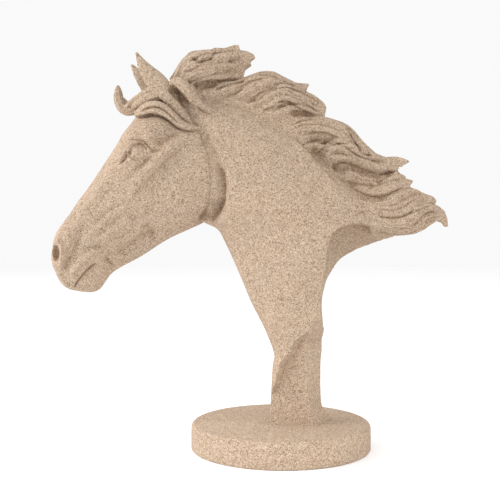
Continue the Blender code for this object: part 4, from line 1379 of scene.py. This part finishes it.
    def read_grooves(self, figure: Object) -> tuple[np.ndarray, np.ndarray]:
        """Measure how deep each point of the dense skin lies below the skin around it, for the painted shade
        in the grooves.

        Args:
            figure: The carved figure, before it is thinned.

        Returns:
            The points and their depths, from 0 to 1.
        """
        points = vertex_values(figure.data, "co")
        normals = vertex_values(figure.data, "normal")
        ends = edge_ends(figure.data)
        count = len(points)
        valence = np.bincount(ends.ravel(), minlength=count)[:, None]
        smoothed = points.copy()
        for _ in range(self.groove_steps):
            total = np.zeros_like(smoothed)
            for axis in range(3):
                total[:, axis] = (np.bincount(ends[:, 0], smoothed[ends[:, 1], axis], count)
                                  + np.bincount(ends[:, 1], smoothed[ends[:, 0], axis], count))
            smoothed = total / valence
        depth = ((smoothed - points) * normals).sum(axis=1) / (self.groove_depth * self.drawing.unit)
        return points, np.clip(depth, 0.0, 1.0)

    @staticmethod
    def mark_grooves(figure: Object, points: np.ndarray, depths: np.ndarray) -> None:
        """Store the groove depths on the finished skin, where the finish turns them into painted shade.

        Args:
            figure: The finished figure.
            points: The dense skin's points.
            depths: Their depths, from 0 to 1.
        """
        deep = np.flatnonzero(depths > LEAST_MARK)
        tree = KDTree(len(deep))
        for number, place in enumerate(points[deep]):
            tree.insert(place, number)
        tree.balance()
        marks = []
        for vertex in figure.data.vertices:
            found = tree.find(vertex.co)
            marks.append(float(depths[deep[found[1]]]) if found[2] < MARK_REACH else 0.0)
        layer = figure.data.attributes.new("groove", "FLOAT", "POINT")
        layer.data.foreach_set("value", marks)

    def build(self) -> Object:
        """Build, carve and dress the cast.

        Returns:
            The finished piece.
        """
        head = Head()
        neck = Neck()
        hair = Hair()
        objects = [head.build(self.drawing), neck.build(self.drawing)] + Ears().build(self.drawing)
        figure = self.fuse(objects, head.forms() + hair.forms())
        LOG.info("fused skin: %d points", len(figure.data.vertices))
        self.blend(figure, hair.joins())
        self.carve(figure, head.strokes() + neck.strokes() + hair.strokes())
        points, depths = self.read_grooves(figure)
        self.thin(figure)
        cut_or_join(figure, RoundBase().build(), "UNION")
        # Painted shade: the stored groove depths darken the finish's colour in grooves and hollows.
        self.mark_grooves(figure, points, depths)
        figure.data.materials.clear()
        figure.data.materials.append(SandstoneFinish().material())
        figure.data.shade_smooth()
        figure.data.set_sharp_from_angle(angle=math.radians(60))
        return figure


@dataclass
class PhotoStudio:
    """Pale floor, soft light and the camera at the photograph's angle."""

    # Where the camera stands, how far it is turned to the mane's side and tilted down, and its lens.
    camera_place: Numbers = (0.050226, -0.698577, 0.174)
    camera_azimuth: float = 6.0
    camera_pitch: float = 2.131
    lens: float = 67.72
    # Half the floor's side in metres, and how white it is.
    floor_half: float = 2.5
    floor_white: float = 0.97
    sky: float = 0.95
    # Soft lights, as name, place and power, all aimed at the head.
    lamps: tuple = (
        ("left", (-1.235, -0.402, 0.87), 12.5),
        ("left_back", (-1.221, 0.444, 0.87), 5.7),
        ("right", (1.255, -0.336, 0.87), 5.2),
    )
    lamp_size: float = 0.6
    lamp_aim: Numbers = (0.0, 0.0, 0.16)
    # The spot that brightens the base.
    spot_place: Numbers = (0.1, -1.15, 0.5)
    spot_aim: Numbers = (0.0, -0.03, 0.0)
    spot_power: float = 32.0
    spot_angle: float = 17.0
    spot_source: float = 0.15

    def camera(self) -> None:
        """Set the camera."""
        turn = math.radians(self.camera_azimuth)
        pitch = math.radians(self.camera_pitch)
        right = Vector((math.cos(turn), math.sin(turn), 0.0))
        level = math.cos(pitch)
        forward = Vector((-math.sin(turn) * level, math.cos(turn) * level, -math.sin(pitch)))
        up = right.cross(forward)
        data = bpy.data.cameras.new("camera")
        data.lens = self.lens
        data.sensor_width = 36.0
        data.clip_start = 0.01
        data.clip_end = 50.0
        camera = link("camera", data)
        axes = Matrix((right, up, -forward)).transposed().to_4x4()
        camera.matrix_world = Matrix.Translation(self.camera_place) @ axes
        bpy.context.scene.camera = camera

    def floor(self) -> None:
        """Lay the pale floor."""
        mesh = bpy.data.meshes.new("floor")
        half = self.floor_half
        corners = [(-half, -half, 0.0), (half, -half, 0.0), (half, half, 0.0), (-half, half, 0.0)]
        mesh.from_pydata(corners, [], [(0, 1, 2, 3)])
        finish = bpy.data.materials.new("floor_paper")
        finish.use_nodes = True
        fill(finish.node_tree.nodes["Principled BSDF"], {
            "Base Color": (self.floor_white,) * 3 + (1.0,), "Roughness": 0.9, "Specular IOR Level": 0.1})
        mesh.materials.append(finish)
        floor = link("floor", mesh)
        floor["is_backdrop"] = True

    @staticmethod
    def hang(light: Light, place: Numbers, aim: Numbers, power: float) -> None:
        """Hang one light.

        Args:
            light: The light.
            place: Where it hangs.
            aim: What it points at.
            power: Its power in watts.
        """
        light.energy = power
        lamp = link(light.name, light)
        lamp.location = place
        lamp.rotation_euler = (Vector(aim) - Vector(place)).to_track_quat("-Z", "Y").to_euler()

    def lights(self) -> None:
        """Set the soft lights, the spot on the base and the bright surroundings."""
        world = bpy.data.worlds.new("studio")
        bpy.context.scene.world = world
        world.use_nodes = True
        fill(world.node_tree.nodes["Background"], {"Color": (1.0,) * 4, "Strength": self.sky})
        for name, place, power in self.lamps:
            lamp = bpy.data.lights.new(name, "AREA")
            lamp.shape = "DISK"
            lamp.size = self.lamp_size
            self.hang(lamp, place, self.lamp_aim, power)
        spot = bpy.data.lights.new("base_spot", "SPOT")
        spot.spot_size = math.radians(self.spot_angle)
        spot.spot_blend = 1.0
        spot.shadow_soft_size = self.spot_source
        self.hang(spot, self.spot_place, self.spot_aim, self.spot_power)
        bpy.context.scene.view_settings.view_transform = "Standard"

    def build(self) -> None:
        """Set the floor, lights and camera."""
        self.camera()
        self.floor()
        self.lights()


def plain(corners: tuple) -> list[list[float]]:
    """Return a box's two corners as plain lists."""
    return [[float(value) for value in corner] for corner in corners]


def main() -> None:
    """Build the cast and the studio."""
    logging.basicConfig(level=logging.INFO, format="%(name)s: %(message)s")
    cad_box = plain(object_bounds())
    PhotoStudio().build()
    base = RoundBase()
    drawing = Drawing(ground=base.thickness, unit=(cad_box[1][2] - base.thickness) / DRAWN_TOP)
    piece = CastFigure(drawing).build()
    LOG.info("%s: %d triangles", piece.name, sum(len(face.vertices) - 2 for face in piece.data.polygons))
    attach(piece, "root")
    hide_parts(NODE)


if __name__ == "__main__":
    main()
